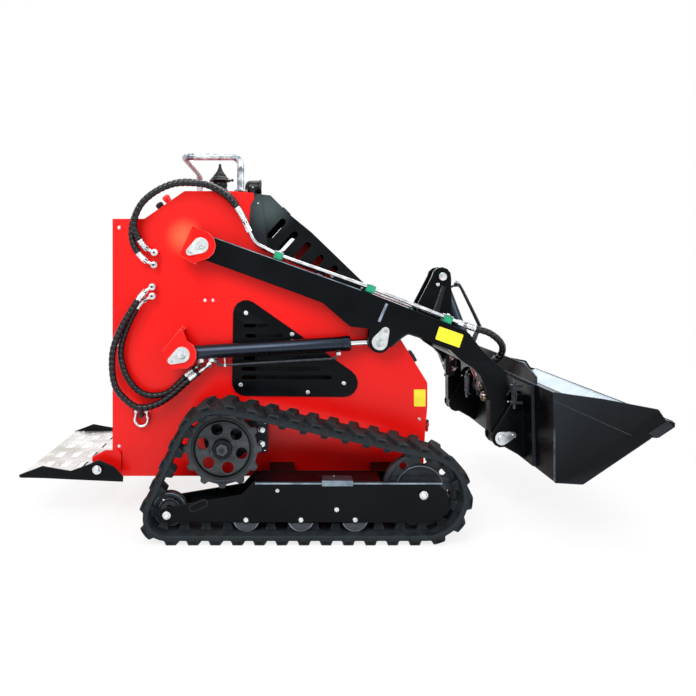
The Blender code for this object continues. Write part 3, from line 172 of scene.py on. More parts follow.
def roundHull(rounds, step=10):
    # the outline of a belt pulled round circles (x, z, radius), listed anticlockwise
    normals = []
    for (ax, az, ar), (bx, bz, br) in zip(rounds, [*rounds[1:], rounds[0]]):
        reach = math.hypot(bx - ax, bz - az)
        normals.append(math.degrees(math.atan2(bz - az, bx - ax) - math.pi / 2 + math.asin((ar - br) / reach)))
    parts = []
    for i, (x, z, radius) in enumerate(rounds):
        start, end = normals[i - 1], normals[i]
        end += 360 * math.ceil((start - end) / 360)
        parts.append(arc((x, z), radius, start, end, max(2, round((end - start) / step))))
    return np.concatenate(parts)


def roundCorners(corners, radius, steps=5):
    # an outline with each corner turned by a fillet arc
    corners = np.asarray(corners, float)
    before = unit(np.roll(corners, 1, 0) - corners)
    after = unit(np.roll(corners, -1, 0) - corners)
    half = np.arccos(np.clip((before * after).sum(1), -1, 1)) / 2
    reach = radius / np.tan(half)
    centre = corners + unit(before + after) * (radius / np.sin(half))[:, None]
    share = np.linspace(0, 1, steps + 1)[None, :, None]
    first = corners + before * reach[:, None] - centre
    last = corners + after * reach[:, None] - centre
    spokes = unit(first[:, None] * (1 - share) + last[:, None] * share) * radius
    return (centre[:, None] + spokes).reshape(-1, 2)


def smoothFillet(line, radius):
    # an open line with its inner corners rounded
    parts = [line[:1]]
    for a, b, c in zip(line, line[1:], line[2:]):
        before, after = unit(a - b), unit(c - b)
        half = math.acos(float(before @ after)) / 2
        share = np.linspace(0, 1, 9)[:, None]
        reach = radius / math.tan(half)
        first, last = b + before * reach, b + after * reach
        parts.append((1 - share) ** 2 * first + 2 * share * (1 - share) * b + share ** 2 * last)
    return np.concatenate([*parts, line[-1:]])


def inset(outline, distance):
    # each point moves inwards along its two edges' mean normal
    outline = np.asarray(outline, float)
    x, z = outline[:, 0], outline[:, 1]
    area = (x * np.roll(z, -1) - np.roll(x, -1) * z).sum()
    edge = unit(np.roll(outline, -1, 0) - outline)
    normal = np.stack([-edge[:, 1], edge[:, 0]], 1) * np.sign(area)
    mean = normal + np.roll(normal, 1, 0)
    return outline + distance * mean / np.maximum((mean * mean).sum(1) / 2, 0.5)[:, None]


def plate(outline, yA, yB, bevel=0.001, holes=()):
    # a flat plate in XZ with eased edges: four rings from face to face, and the faces themselves
    sign = 1 if yB > yA else -1
    levels = ((bevel, yA), (0, yA + sign * bevel), (0, yB - sign * bevel), (bevel, yB))
    forms, faceLoops = [], [[], []]
    for loop, way in ((outline, 1), *((hole, -1) for hole in holes)):
        rings = [np.insert(inset(loop, way * ease), 1, y, axis=1) for ease, y in levels]
        forms.append(gridForm(np.stack(rings), caps=False))
        faceLoops[0].append(rings[0])
        faceLoops[1].append(rings[-1])
    for loops in faceLoops:
        points = np.concatenate(loops)
        triangles = tessellate_polygon([[Vector((p[0], p[2], 0)) for p in loop] for loop in loops])
        forms.append((points, [list(t) for t in triangles]))
    return join(*forms)


def block(x, y, z, bevel=0.001):
    # an eased box
    corners = ((x[0], z[0]), (x[1], z[0]), (x[1], z[1]), (x[0], z[1]))
    return plate(roundCorners(corners, bevel, 2), y[0], y[1], bevel)


def stood(form, origin, xAxis, yAxis, zAxis):
    # a form drawn in x, y, z stood on three other directions
    return form[0] @ np.array([xAxis, yAxis, zAxis], float) + np.asarray(origin, float), form[1]


def hexBolt(at, axis, size=0.008, washer=True):
    # a hexagon head of the thread size given, chamfered, with its washer
    axis = unit(axis)
    head = [(size * 0.86, size * 0.18), (size * 0.95, size * 0.26), (size * 0.95, size * 0.72),
            (size * 0.80, size * 0.85), (size * 0.30, size * 0.86), (hair, size * 0.80)]
    if not washer:
        return join(turned([(hair, 0), *head], at, axis, 6))
    flat = [(size * 1.25, 0), (size * 1.3, size * 0.04), (size * 1.3, size * 0.16), (size * 1.22, size * 0.2)]
    return join(turned(head, at, axis, 6), barTurned(flat, at, axis, 20))


def weld(centre, axis, ring, bead, ripples=40):
    # a fillet bead that runs round a bar, its ripples from the welder's steps
    angle = np.linspace(0, 2 * math.pi, ripples * 4, endpoint=False)
    axis = unit(axis)
    side = unit(np.cross(axis, (0.2, 0.9, 0.1)))
    other = np.cross(axis, side)
    centreLine = np.asarray(centre) + ring * (np.cos(angle)[:, None] * side + np.sin(angle)[:, None] * other)
    size = bead * (0.86 + 0.14 * np.abs(np.cos(angle * ripples / 2)))
    spoke = unit(centreLine - np.asarray(centre))
    around = np.arange(8) * math.pi / 4
    points = centreLine[:, None] + size[:, None, None] * (np.cos(around)[None, :, None] * spoke[:, None]
                                                          + np.sin(around)[None, :, None] * axis)
    return gridForm(points, wrapRows=True)


def seam(path, bead=0.0030, step=0.0035):
    # a straight or bent weld bead, sunk by half in the two plates it joins, its ripples a step apart
    path = np.asarray(path, float)
    length = np.linalg.norm(np.diff(path, axis=0), axis=1).sum()
    count = max(8, round(length / 0.0012))
    line = smoothPath(path, count) if len(path) > 2 else np.linspace(path[0], path[1], count)
    run = np.linspace(0, length, len(line))
    size = bead * (0.82 + 0.18 * np.abs(np.sin(run * math.pi / step)))
    size[0], size[-1] = bead * 0.2, bead * 0.2
    across = leftward if abs((path[-1] - path[0])[1]) < 0.7 * length else upward
    return tube(line, size, 8, across)


def makePiece(name, forms, body, replaced=(), ease=35, blend=None):
    # forms lists each part with its finish; it rides on a body, or, where a blend is given, is left free with its
    # placing baked in;
    # it stands for the imported nodes that are named; edges turned by more than ease degrees stay sharp
    paints = list(dict.fromkeys(paint for form, paint in forms))
    points, faces = join(*(form for form, paint in forms))
    mesh = bpy.data.meshes.new(name)
    mesh.from_pydata((points + (datumX, 0, 0)).tolist(), [], faces)
    for paint in paints:
        mesh.materials.append(paint)
    marks = np.concatenate([np.full(len(form[1]), paints.index(paint)) for form, paint in forms])
    mesh.polygons.foreach_set("material_index", marks.astype(np.int32))
    work = bmesh.new()
    work.from_mesh(mesh)
    bmesh.ops.remove_doubles(work, verts=work.verts, dist=0.000002)
    bmesh.ops.recalc_face_normals(work, faces=work.faces)
    work.to_mesh(mesh)
    work.free()
    mesh.polygons.foreach_set("use_smooth", [True] * len(mesh.polygons))
    mesh.set_sharp_from_angle(angle=math.radians(ease))
    piece = bpy.data.objects.new(name, mesh)
    bpy.context.scene.collection.objects.link(piece)
    if blend:
        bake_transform(piece)
    else:
        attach(piece, body)
    if replaced:
        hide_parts(*replaced)


def makePair(name, forms, body, replaced=(), ease=35, blend=None):
    # the right-hand piece and its mirror image; {} in a body's or node's name stands for the side
    for side in ("right", "left"):
        sideForms = [(mirrored(form), paint) for form, paint in forms] if side == "left" else forms
        bent = (blend[0].format(side), blend[1].format(side), *blend[2:]) if blend else None
        makePiece(f"{name}_{side}", sideForms, body.format(side), [node.format(side) for node in replaced],
                  ease, bent)


print("stage: finishes")


def linear(code):
    # an sRGB hex colour as linear light
    c = np.array([int(code[i:i + 2], 16) for i in (1, 3, 5)]) / 255
    return (*np.where(c <= 0.04045, c / 12.92, ((c + 0.055) / 1.055) ** 2.4).tolist(), 1.0)


def addNode(tree, kind, settings=None, links=None):
    # settings are sockets' values or the node's own properties; links give the source of each socket
    made = tree.nodes.new(kind)
    for key, value in (settings or {}).items():
        if isinstance(key, int) or key in made.inputs:
            made.inputs[key].default_value = value
        else:
            setattr(made, key, value)
    for key, source in (links or {}).items():
        tree.links.new(source, made.inputs[key])
    return made


def finish(name, look):
    # colour drifts between two shades in patches, roughness with it; grain and dents raise the surface; bare edges,
    # painted edge highlights, a painted sheen and settled dust are laid over where the look has them
    material = bpy.data.materials.new(name)
    material.use_nodes = True
    tree = material.node_tree
    shader = tree.nodes["Principled BSDF"]
    for socket, value in look.get("sockets", {}).items():
        shader.inputs[socket].default_value = value
    where = addNode(tree, "ShaderNodeTexCoord").outputs["Object"]
    patches = addNode(tree, "ShaderNodeTexNoise", {"Scale": 1000 / look["patchMm"], "Detail": 4.0}, {"Vector": where})
    spread = addNode(tree, "ShaderNodeMapRange", {1: 0.35, 2: 0.65}, {0: patches.outputs["Fac"]})
    colour = addNode(tree, "ShaderNodeMix", {"data_type": "RGBA", 6: linear(look["shade"]), 7: linear(look["tint"])},
                     {0: spread.outputs[0]}).outputs[2]
    grain = addNode(tree, "ShaderNodeTexNoise", {"Scale": 1000 / look["grainMm"], "Detail": 3.0}, {"Vector": where})
    low, high = look["roughness"]
    rough = addNode(tree, "ShaderNodeMapRange", {1: 0.3, 2: 0.7, 3: low, 4: high}, {0: spread.outputs[0]}).outputs[0]
    if "wearAndEdgeHighlight" in look:
        # convex edges are paled, more where the patches are pale: rubbed through to the metal in some finishes, a
        # painted highlight on lit edges in others
        point = addNode(tree, "ShaderNodeNewGeometry").outputs["Pointiness"]
        edge = addNode(tree, "ShaderNodeMapRange", {1: 0.53, 2: 0.60, 4: look["wearAndEdgeHighlightShare"]}, {0: point}).outputs[0]
        wornAndHighlitEdges = addNode(tree, "ShaderNodeMath", {"operation": "MULTIPLY"},
                       {0: edge, 1: grain.outputs["Fac"]}).outputs[0]
        colour = addNode(tree, "ShaderNodeMix", {"data_type": "RGBA", 7: linear(look["wearAndEdgeHighlight"])},
                         {0: wornAndHighlitEdges, 6: colour}).outputs[2]
    if "sheen" in look:
        # a soft pale patch round one place, where the sheet catches the light
        away = addNode(tree, "ShaderNodeVectorMath", {"operation": "DISTANCE", 1: look["sheenAt"]},
                       {0: where}).outputs["Value"]
        catch = addNode(tree, "ShaderNodeMapRange",
                        {"interpolation_type": "SMOOTHSTEP", 2: look["sheenReach"], 3: 1.0, 4: 0.0},
                        {0: away}).outputs[0]
        colour = addNode(tree, "ShaderNodeMix", {"data_type": "RGBA", 7: linear(look["sheen"])},
                         {0: catch, 6: colour}).outputs[2]
    if "dust" in look:
        # dust lies on what faces up and in the lower parts
        normal = addNode(tree, "ShaderNodeSeparateXYZ", None,
                         {0: addNode(tree, "ShaderNodeTexCoord").outputs["Normal"]}).outputs["Z"]
        lie = addNode(tree, "ShaderNodeMapRange", {1: -0.2, 2: 1.0, 4: look["dustShare"]}, {0: normal}).outputs[0]
        lain = addNode(tree, "ShaderNodeMath", {"operation": "MULTIPLY"}, {0: lie, 1: spread.outputs[0]}).outputs[0]
        colour = addNode(tree, "ShaderNodeMix", {"data_type": "RGBA", 7: linear(look["dust"])},
                         {0: lain, 6: colour}).outputs[2]
    bump = addNode(tree, "ShaderNodeBump", {"Distance": look["grainHeightMm"] / 1000, "Strength": 0.6},
                   {"Height": grain.outputs["Fac"]})
    tree.links.new(colour, shader.inputs["Base Color"])
    tree.links.new(rough, shader.inputs["Roughness"])
    tree.links.new(bump.outputs["Normal"], shader.inputs["Normal"])
    return material


# Polyester powder coat, sprayed and baked: a bright even red with faint orange peel under gloss, and a painted
# highlight, the glow of a lamp, on the near plate behind the arm's pivot.
redCoat = {"shade": "#DA0805", "tint": "#E5100B", "grainMm": 2.4, "grainHeightMm": 0.05, "roughness": (0.28, 0.36),
           "sheen": "#E06A44", "sheenAt": (-0.357 + datumX, -0.26, 1.026), "sheenReach": 0.085}
redPowderCoat = finish("redPowderCoat", {**redCoat, "patchMm": 420, "sockets": {
    "Specular IOR Level": 0.20, "Coat Weight": 0.06, "Coat Roughness": 0.12}})
# The same red on the welded brackets, with painted highlights in pale red along their cut edges, where they catch the
# light.
bracketPowderCoat = finish("bracketPowderCoat", {
    **redCoat, "patchMm": 120, "wearAndEdgeHighlight": "#FF9488", "wearAndEdgeHighlightShare": 2.0, "sockets": {"Specular IOR Level": 0.20}})
# Black powder coat on plate: near black, satin, rubbed grey where edges are handled.
blackCoat = {"shade": "#020406", "tint": "#05090D", "patchMm": 160, "grainMm": 1.6, "grainHeightMm": 0.05,
             "roughness": (0.26, 0.36), "wearAndEdgeHighlight": "#4C525A", "wearAndEdgeHighlightShare": 1.0}
blackPowderCoat = finish("blackPowderCoat", {
    **blackCoat, "dust": "#1C1E1F", "dustShare": 0.05, "sockets": {"Specular IOR Level": 0.09}})
# The same black on the hood, with a painted sheen: paler round its upper rear corner, where it would reflect the sky.
hoodPowderCoat = finish("hoodPowderCoat", {
    **blackCoat, "sheen": "#3F4A4B", "sheenAt": (-0.045 + datumX, -0.25, 1.135), "sheenReach": 0.115,
    "sockets": {"Specular IOR Level": 0.11}})
# Gloss enamel on the cylinders' drawn tube: deep blue black that takes a long highlight.
cylinderEnamel = finish("cylinderEnamel", {
    "shade": "#030508", "tint": "#070A0F", "patchMm": 120, "grainMm": 1.4, "grainHeightMm": 0.02,
    "roughness": (0.24, 0.32), "sockets": {"Specular IOR Level": 0.70, "Specular Tint": linear("#B4C8EA")}})
# Natural rubber filled with carbon black, moulded hot: blue grey, matte, dusty on its upper faces.
trackRubber = finish("trackRubber", {
    "shade": "#0B1114", "tint": "#182126", "patchMm": 38, "grainMm": 2.0, "grainHeightMm": 0.35,
    "roughness": (0.58, 0.80), "wearAndEdgeHighlight": "#454D54", "wearAndEdgeHighlightShare": 0.8, "dust": "#3B3832", "dustShare": 0.18,
    "sockets": {"Specular IOR Level": 0.22}})
# Painted grey iron casting: dark, with the sand mould's fine pits.
ironCasting = finish("ironCasting", {
    "shade": "#111417", "tint": "#1E2328", "patchMm": 40, "grainMm": 2.8, "grainHeightMm": 0.30,
    "roughness": (0.40, 0.58), "wearAndEdgeHighlight": "#6A7076", "wearAndEdgeHighlightShare": 1.0, "dust": "#332E27", "dustShare": 0.18,
    "sockets": {"Specular IOR Level": 0.25, "Metallic": 0.2}})
# Extruded hose cover: soft black rubber with a wrapped cloth mark.
hoseRubber = finish("hoseRubber", {
    "shade": "#0D0E10", "tint": "#191B1F", "patchMm": 30, "grainMm": 1.0, "grainHeightMm": 0.10,
    "roughness": (0.36, 0.52), "sockets": {"Specular IOR Level": 0.35}})
# Coiled polyethylene guard: shinier than the hose it protects.
guardPlastic = finish("guardPlastic", {
    "shade": "#05060A", "tint": "#0C0E14", "patchMm": 22, "grainMm": 1.5, "grainHeightMm": 0.04,
    "roughness": (0.18, 0.26), "sockets": {"Specular IOR Level": 0.30}})
# Bright zinc plate, blue passivated: pale silver with soft clouds.
brightZinc = finish("brightZinc", {
    "shade": "#B6BBBF", "tint": "#E0E4E6", "patchMm": 26, "grainMm": 0.9, "grainHeightMm": 0.03,
    "roughness": (0.22, 0.38), "sockets": {"Metallic": 1.0}})
# Thick zinc on stamped keepers, fresh from the bath: nearly white and barely clouded.
whiteZinc = finish("whiteZinc", {
    "shade": "#B6BABB", "tint": "#CACECF", "patchMm": 18, "grainMm": 0.9, "grainHeightMm": 0.03,
    "roughness": (0.34, 0.46), "sockets": {"Metallic": 0.25, "Specular IOR Level": 0.4}})
# Hot-dip galvanised tread plate: mottled, some brown stain.
galvanisedPlate = finish("galvanisedPlate", {
    "shade": "#C8C3BB", "tint": "#EAEBEC", "patchMm": 110, "grainMm": 3.0, "grainHeightMm": 0.03,
    "roughness": (0.30, 0.44), "sockets": {"Metallic": 0.85}})
# Hard chrome, ground and polished.
hardChrome = finish("hardChrome", {
    "shade": "#D4D8DB", "tint": "#E6E9EB", "patchMm": 90, "grainMm": 0.6, "grainHeightMm": 0.005,
    "roughness": (0.06, 0.12), "sockets": {"Metallic": 1.0}})
# Pale blue-grey steel: the cutting edge's own colour, and a painted reflection of the sky on the sheets that line the
# bucket's black inner faces.
paleSteelAndSkyReflection = finish("paleSteelAndSkyReflection", {
    "shade": "#84949F", "tint": "#A4B2BD", "patchMm": 90, "grainMm": 1.2, "grainHeightMm": 0.03,
    "roughness": (0.30, 0.46), "sockets": {"Metallic": 0.35, "Specular IOR Level": 0.3}})
# Moulded polypropylene with a fine spark-eroded grain.
mouldedPlastic = finish("mouldedPlastic", {
    "shade": "#06080C", "tint": "#0D1116", "patchMm": 60, "grainMm": 0.8, "grainHeightMm": 0.06,
    "roughness": (0.32, 0.44), "sockets": {"Specular IOR Level": 0.22}})
# Green nylon pipe clamps, glass filled.
greenNylon = finish("greenNylon", {
    "shade": "#0E8460", "tint": "#179A70", "patchMm": 20, "grainMm": 0.9, "grainHeightMm": 0.06,
    "roughness": (0.40, 0.52), "sockets": {"Specular IOR Level": 0.4}})
# Yellow vinyl film, printed with nothing.
yellowVinyl = finish("yellowVinyl", {
    "shade": "#E6D61E", "tint": "#F0E234", "patchMm": 40, "grainMm": 1.4, "grainHeightMm": 0.02,
    "roughness": (0.30, 0.40), "sockets": {"Specular IOR Level": 0.4}})
# Pale red on the weld beads along the brackets' edges: a painted highlight where the edges catch the light.
highlightRed = finish("highlightRed", {
    "shade": "#EE4C42", "tint": "#FF7D70", "patchMm": 30, "grainMm": 1.2, "grainHeightMm": 0.04,
    "roughness": (0.30, 0.42), "sockets": {"Specular IOR Level": 0.3}})
# Red enamel on small forgings and a knob.
redEnamel = finish("redEnamel", {
    "shade": "#C2151A", "tint": "#DE2026", "patchMm": 15, "grainMm": 1.0, "grainHeightMm": 0.04,
    "roughness": (0.22, 0.34), "sockets": {"Specular IOR Level": 0.45}})
# Brass coupler bodies, dulled.
dullBrass = finish("dullBrass", {
    "shade": "#7F7860", "tint": "#ACA68F", "patchMm": 12, "grainMm": 0.8, "grainHeightMm": 0.03,
    "roughness": (0.26, 0.40), "sockets": {"Metallic": 1.0}})
# Bright tube in its torn wrapping film: silver with dark streaks.
wrappedTube = finish("wrappedTube", {
    "shade": "#5F666D", "tint": "#CDD2D6", "patchMm": 24, "grainMm": 5.0, "grainHeightMm": 0.12,
    "roughness": (0.22, 0.42), "sockets": {"Metallic": 0.6, "Specular IOR Level": 0.5}})
# Blue-grey steel: a painted highlight on thin strips and rings along lit edges and rims, and the bare steel of the
# middle latch's spring.
steelAndPaintedHighlight = finish("steelAndPaintedHighlight", {
    "shade": "#5E6B77", "tint": "#8D9CAA", "patchMm": 45, "grainMm": 1.2, "grainHeightMm": 0.04,
    "roughness": (0.28, 0.44), "sockets": {"Metallic": 0.6}})
# Dull grey over the black: the own colour of the steel line and a latch spring, a thin line on the bucket's crease, and
# a painted highlight on the tower's and the bucket's lit edges.
dullGreyAndEdgeHighlight = finish("dullGreyAndEdgeHighlight", {
    "shade": "#262A2F", "tint": "#454A50", "patchMm": 12, "grainMm": 1.4, "grainHeightMm": 0.06,
    "roughness": (0.34, 0.52), "sockets": {"Specular IOR Level": 0.2}})
# Clear polycarbonate lens of the work lamp.
lampLens = finish("lampLens", {
    "shade": "#C8D4DC", "tint": "#E8F0F5", "patchMm": 14, "grainMm": 4.0, "grainHeightMm": 0.40,
    "roughness": (0.08, 0.14), "sockets": {"Specular IOR Level": 0.6}})

print("stage: the packed solids that stay, with eased edges")

# columns: name of the node without its side, finish, edge easing in mm
keptNodes = [
    ("side_plate", redPowderCoat, 1.2), ("console_panel", redPowderCoat, 1.0), ("front_panel", redPowderCoat, 1.0),
    ("rear_panel", redPowderCoat, 1.0), ("belly_plate", redPowderCoat, 1.0), ("lift_bracket", bracketPowderCoat, 1.5),
    ("cylinder_bracket", bracketPowderCoat, 1.5), ("hood", hoodPowderCoat, 1.0), ("vent_plate", blackPowderCoat, 1.0),
    ("lift_arm", blackPowderCoat, 2.0), ("tilt_tower", blackPowderCoat, 1.5), ("low_cross_tube", blackPowderCoat, 1.0),
    ("attach_plate", blackPowderCoat, 1.5), ("bucket_shell", blackPowderCoat, 1.2), ("cutting_edge", paleSteelAndSkyReflection, 1.0),
    ("platform_rails", blackPowderCoat, 1.0), ("platform_deck", galvanisedPlate, 0.6),
    ("track_frame", blackPowderCoat, 1.5), ("engine_block", ironCasting, 4.0),
]


def easeNode(node, paint, width):
    # the node's loose triangles are welded, its edges rounded and its flats kept flat
    node.data.materials.clear()
    node.data.materials.append(paint)
    node.data.polygons.foreach_set("use_smooth", [True] * len(node.data.polygons))
    merged = node.modifiers.new("weld", "WELD")
    merged.merge_threshold = 0.00002
    bevel = node.modifiers.new("ease", "BEVEL")
    bevel.width = width / 1000
    bevel.segments = 2
    bevel.limit_method = "ANGLE"
    bevel.angle_limit = math.radians(36)
    bevel.use_clamp_overlap = False
    bevel.miter_outer = "MITER_ARC"
    flats = node.modifiers.new("flats", "WEIGHTED_NORMAL")
    flats.keep_sharp = True
    flats.weight = 100


for stem, paint, width in keptNodes:
    for name in (stem, stem + "_right", stem + "_left"):
        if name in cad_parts:
            easeNode(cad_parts[name], paint, width)

print("stage: tracks")

# x, z and radius of the circles the belt wraps, inside face: sprocket, rear idler, front idler
beltRounds = ((-0.200, 0.294, 0.1365), (-0.379, 0.090, 0.059), (0.473, 0.157, 0.126))
track = {"centre": -0.430, "half": 0.090, "pitch": 0.072, "thick": 0.015, "lug": 0.016, "chevron": 0.30,
         "guideIn": 0.017, "guideOut": 0.035, "guideHeight": 0.024}
beltLine = roundHull(beltRounds, 3)
beltLine = np.concatenate([beltLine, beltLine[:1]])
beltAt = np.concatenate([[0], np.cumsum(np.linalg.norm(np.diff(beltLine, axis=0), axis=1))])
beltLinks = round(beltAt[-1] / track["pitch"])
beltStep = beltAt[-1] / beltLinks


def onBelt(s, height):
    # the belt's inner face at length s, and height outwards along its normal
    def at(length):
        length = np.mod(length, beltAt[-1])
        return np.stack([np.interp(length, beltAt, beltLine[:, k]) for k in (0, 1)], -1)

    tangent = unit(at(s + 0.003) - at(s - 0.003))
    normal = np.stack([tangent[..., 1], -tangent[..., 0]], -1)
    return at(s) + normal * height[..., None]


def trackForm():
    # rows go round the belt, columns round its section; each lug is a ridge bent to a chevron
    marks = np.array([-0.46, -0.36, -0.315, -0.285, -0.225, -0.195, -0.10, 0.0, 0.10, 0.195, 0.225, 0.285, 0.315,
                      0.36])
    rise = np.interp(np.abs(marks), (0, 0.195, 0.225, 0.285, 0.315, 0.36), (1.0, 1.0, 0.90, 0.12, 0.02, 0.0))
    half, lug, thick = track["half"], track["lug"], track["thick"]
    # columns: across, base height, share of the lug's height, depth of the pocket in the lug's side
    edge = [(half - 0.004, 0.0, 0, 0), (half, 0.003, 0, 0), (half, thick - 0.001, 0, 0), (half, thick, 0.22, 0.0),
            (half, thick, 0.34, 0.007), (half, thick, 0.66, 0.006), (half, thick, 0.80, 0.0),
            (half - 0.001, thick, 0.93, 0), (half - 0.005, thick, 1.0, 0)]
    crown = [(a * half, thick, 1.0, 0) for a in (0.82, 0.55, 0.30, 0.12, 0.03)]
    ring = np.array([*edge, *crown])
    ring = np.concatenate([ring, ring[::-1] * (-1, 1, 1, 1)])
    across, base, share, pocket = ring.T
    bend = track["chevron"] * (1 - np.abs(across) / half)
    s = ((np.arange(beltLinks)[:, None] + marks).reshape(-1, 1) + bend) * beltStep
    rises = np.tile(rise, beltLinks)[:, None]
    inside = np.tile(np.interp(np.abs(marks), (0, 0.10, 0.195), (1.0, 0.75, 0.0)), beltLinks)[:, None]
    flat = onBelt(s, base + share * rises * lug)
    y = track["centre"] + across - np.sign(across) * pocket * inside
    return gridForm(np.stack([flat[..., 0], np.broadcast_to(y, s.shape), flat[..., 1]], -1), wrapRows=True)


def guideForms():
    # two rows of tapered teeth on the belt's inner face that keep it on the wheels
    inner, outer, tall = track["guideIn"], track["guideOut"], track["guideHeight"]
    forms = []
    for side in (-1, 1):
        rings = []
        for height, ease in ((0.001, 1.0), (-tall * 0.80, 0.66), (-tall * 0.95, 0.58), (-tall, 0.42)):
            corners = roundCorners(((-0.25, -1), (0.25, -1), (0.25, 1), (-0.25, 1)), 0.12, 2)
            rings.append(np.stack([corners[:, 0] * ease, corners[:, 1] * ease, np.full(len(corners), height)], 1))
        rings = np.stack(rings)
        for k in range(beltLinks):
            flat = onBelt((k + 0.5 + rings[..., 0]) * beltStep, rings[..., 2])
            y = track["centre"] + side * ((inner + outer) / 2 + rings[..., 1] * (outer - inner) / 2)
            forms.append(gridForm(np.stack([flat[..., 0], y, flat[..., 1]], -1)))
    return join(*forms)


makePair("finishRubberTrack", [(join(trackForm(), guideForms()), trackRubber)], "chassis",
         ("rubber_track_{}",), 32)

print("stage: wheels inside the tracks")

sprocket = {"x": -0.200, "z": 0.294, "teeth": 12, "root": 0.1212, "tip": 0.1350, "ringIn": 0.1065, "half": 0.009,
            "web": 0.0930, "holes": 6, "holeRing": 0.0675, "hole": 0.0205, "turn": -14, "bolts": 6,
            "boltRing": 0.0465, "boltTurn": 16}
motorCase = {"box": ((-0.150, -0.047), (-0.3375, -0.2505), (0.251, 0.365)), "ribX": (-0.146, -0.051),
             "ribs": (0.262, 0.308, 0.350), "fittingX": -0.074, "fittingZ": (0.336, 0.286),
             "fittingLean": (0.35, -1, 0.12), "boltX": (-0.140, -0.057), "boltZ": (0.262, 0.354)}


def toothOutline():
    # a tooth is a rounded trapezoid: marks are parts of the pitch, then share of its height
    corners = []
    for k in range(sprocket["teeth"]):
        for mark, share in ((-0.24, 0), (-0.12, 1), (0.12, 1), (0.24, 0)):
            angle = math.radians(360 / sprocket["teeth"] * (k + mark))
            reach = sprocket["root"] + share * (sprocket["tip"] - sprocket["root"])
            corners.append((sprocket["x"] + reach * math.cos(angle), sprocket["z"] + reach * math.sin(angle)))
    return roundCorners(corners, 0.0046, 4)


def sprocketForms():
    # the toothed ring, the pierced web with a collar in each hole, the dish's lip, hub, motor and case
    x, z, y, half, hole = sprocket["x"], sprocket["z"], track["centre"], sprocket["half"], sprocket["hole"]
    ring = plate(toothOutline(), y - half, y + half, 0.0012, [circle((x, z), sprocket["ringIn"], 72)])
    spots = spotsRound(x, z, sprocket["holeRing"], sprocket["holes"], sprocket["turn"])
    web = plate(circle((x, z), sprocket["web"], 72), y - 0.004, y + 0.005, 0.0015,
                [circle(spot, hole, 28) for spot in spots])
    # the dish's outer lip, a groove's width inside the toothed ring
    lip = ringTurned([(0.1066, -0.008), (0.1066, 0.012), (0.0905, 0.012), (0.0905, 0.0045), (0.0988, 0.0045),
                      (0.0988, -0.0085), (0.1000, -0.0100), (0.1035, -0.0100), (0.1052, -0.0095)], (x, y, z),
                     leftward, 72)
    collar = [(hole + 0.0035, -0.0042), (hole + 0.0020, -0.0060), (hole + 0.0004, -0.0052), (hole + 0.0004, -0.002),
              (hole + 0.0035, -0.002)]
    collars = [ringTurned(collar, (spotX, y, spotZ), leftward, 28) for spotX, spotZ in spots]
    hub = barTurned([(0.0300, -0.0180), (0.0335, -0.0150), (0.0345, -0.0040), (0.0380, -0.0030),
                     (0.0380, 0.010), (0.0520, 0.012), (0.0520, 0.040)], (x, y, z), leftward, 40)
    motor = barTurned([(0.0515, 0.038), (0.0520, 0.042), (0.0520, 0.090), (0.0480, 0.094),
                       (0.0480, 0.150), (0.0560, 0.152), (0.0560, 0.166), (0.0500, 0.168), (0.0500, 0.179)],
                      (x, y, z), leftward, 40)
    bright = []
    dull = [barTurned([(0.0105, -0.0300), (0.0130, -0.0280), (0.0130, -0.020)], (x, y, z), leftward, 24)]
    nut = barTurned([(0.0190, -0.0265), (0.0205, -0.0245), (0.0205, -0.0175)], (x, y, z), leftward, 6)
    for spotX, spotZ in spotsRound(x, z, sprocket["boltRing"], sprocket["bolts"], sprocket["boltTurn"]):
        dull.append(hexBolt((spotX, y - 0.0040, spotZ), rightward, 0.0055, False))
    case = [block(*motorCase["box"], 0.005),
            barTurned([(0.0780, 0.052), (0.0800, 0.054), (0.0800, 0.083), (0.0780, 0.085)],
                      (x + 0.010, y, z + 0.018), leftward, 48)]
    case += [block(motorCase["ribX"], (-0.3420, -0.3370), (low, low + 0.006), 0.001) for low in motorCase["ribs"]]
    # two hose fittings that lean out of the case, and the cover's four bolts
    way = unit(motorCase["fittingLean"])
    for high in motorCase["fittingZ"]:
        foot = (motorCase["fittingX"], -0.3385, high)
        bright.append(barTurned([(0.0110, -0.004), (0.0110, 0.008)], foot, way, 6))
        bright.append(turned([(hair, 0.006), (0.0092, 0.006), (0.0092, 0.011), (0.0078, 0.012), (0.0092, 0.013),
                              (0.0092, 0.020), (0.0078, 0.021), (0.0092, 0.022), (0.0092, 0.029), (hair, 0.030)],
                             foot, way, 20))
    bright += [hexBolt((px, -0.3375, pz), rightward, 0.0045, False) for px in motorCase["boltX"]
               for pz in motorCase["boltZ"]]
    return [(join(ring, web, lip, *collars, nut, *dull), ironCasting), (join(hub, motor, *case), blackPowderCoat),
            (join(*bright), brightZinc)]


makePair("finishSprocket", sprocketForms(), "chassis", ("drive_sprocket_{}",), 30)

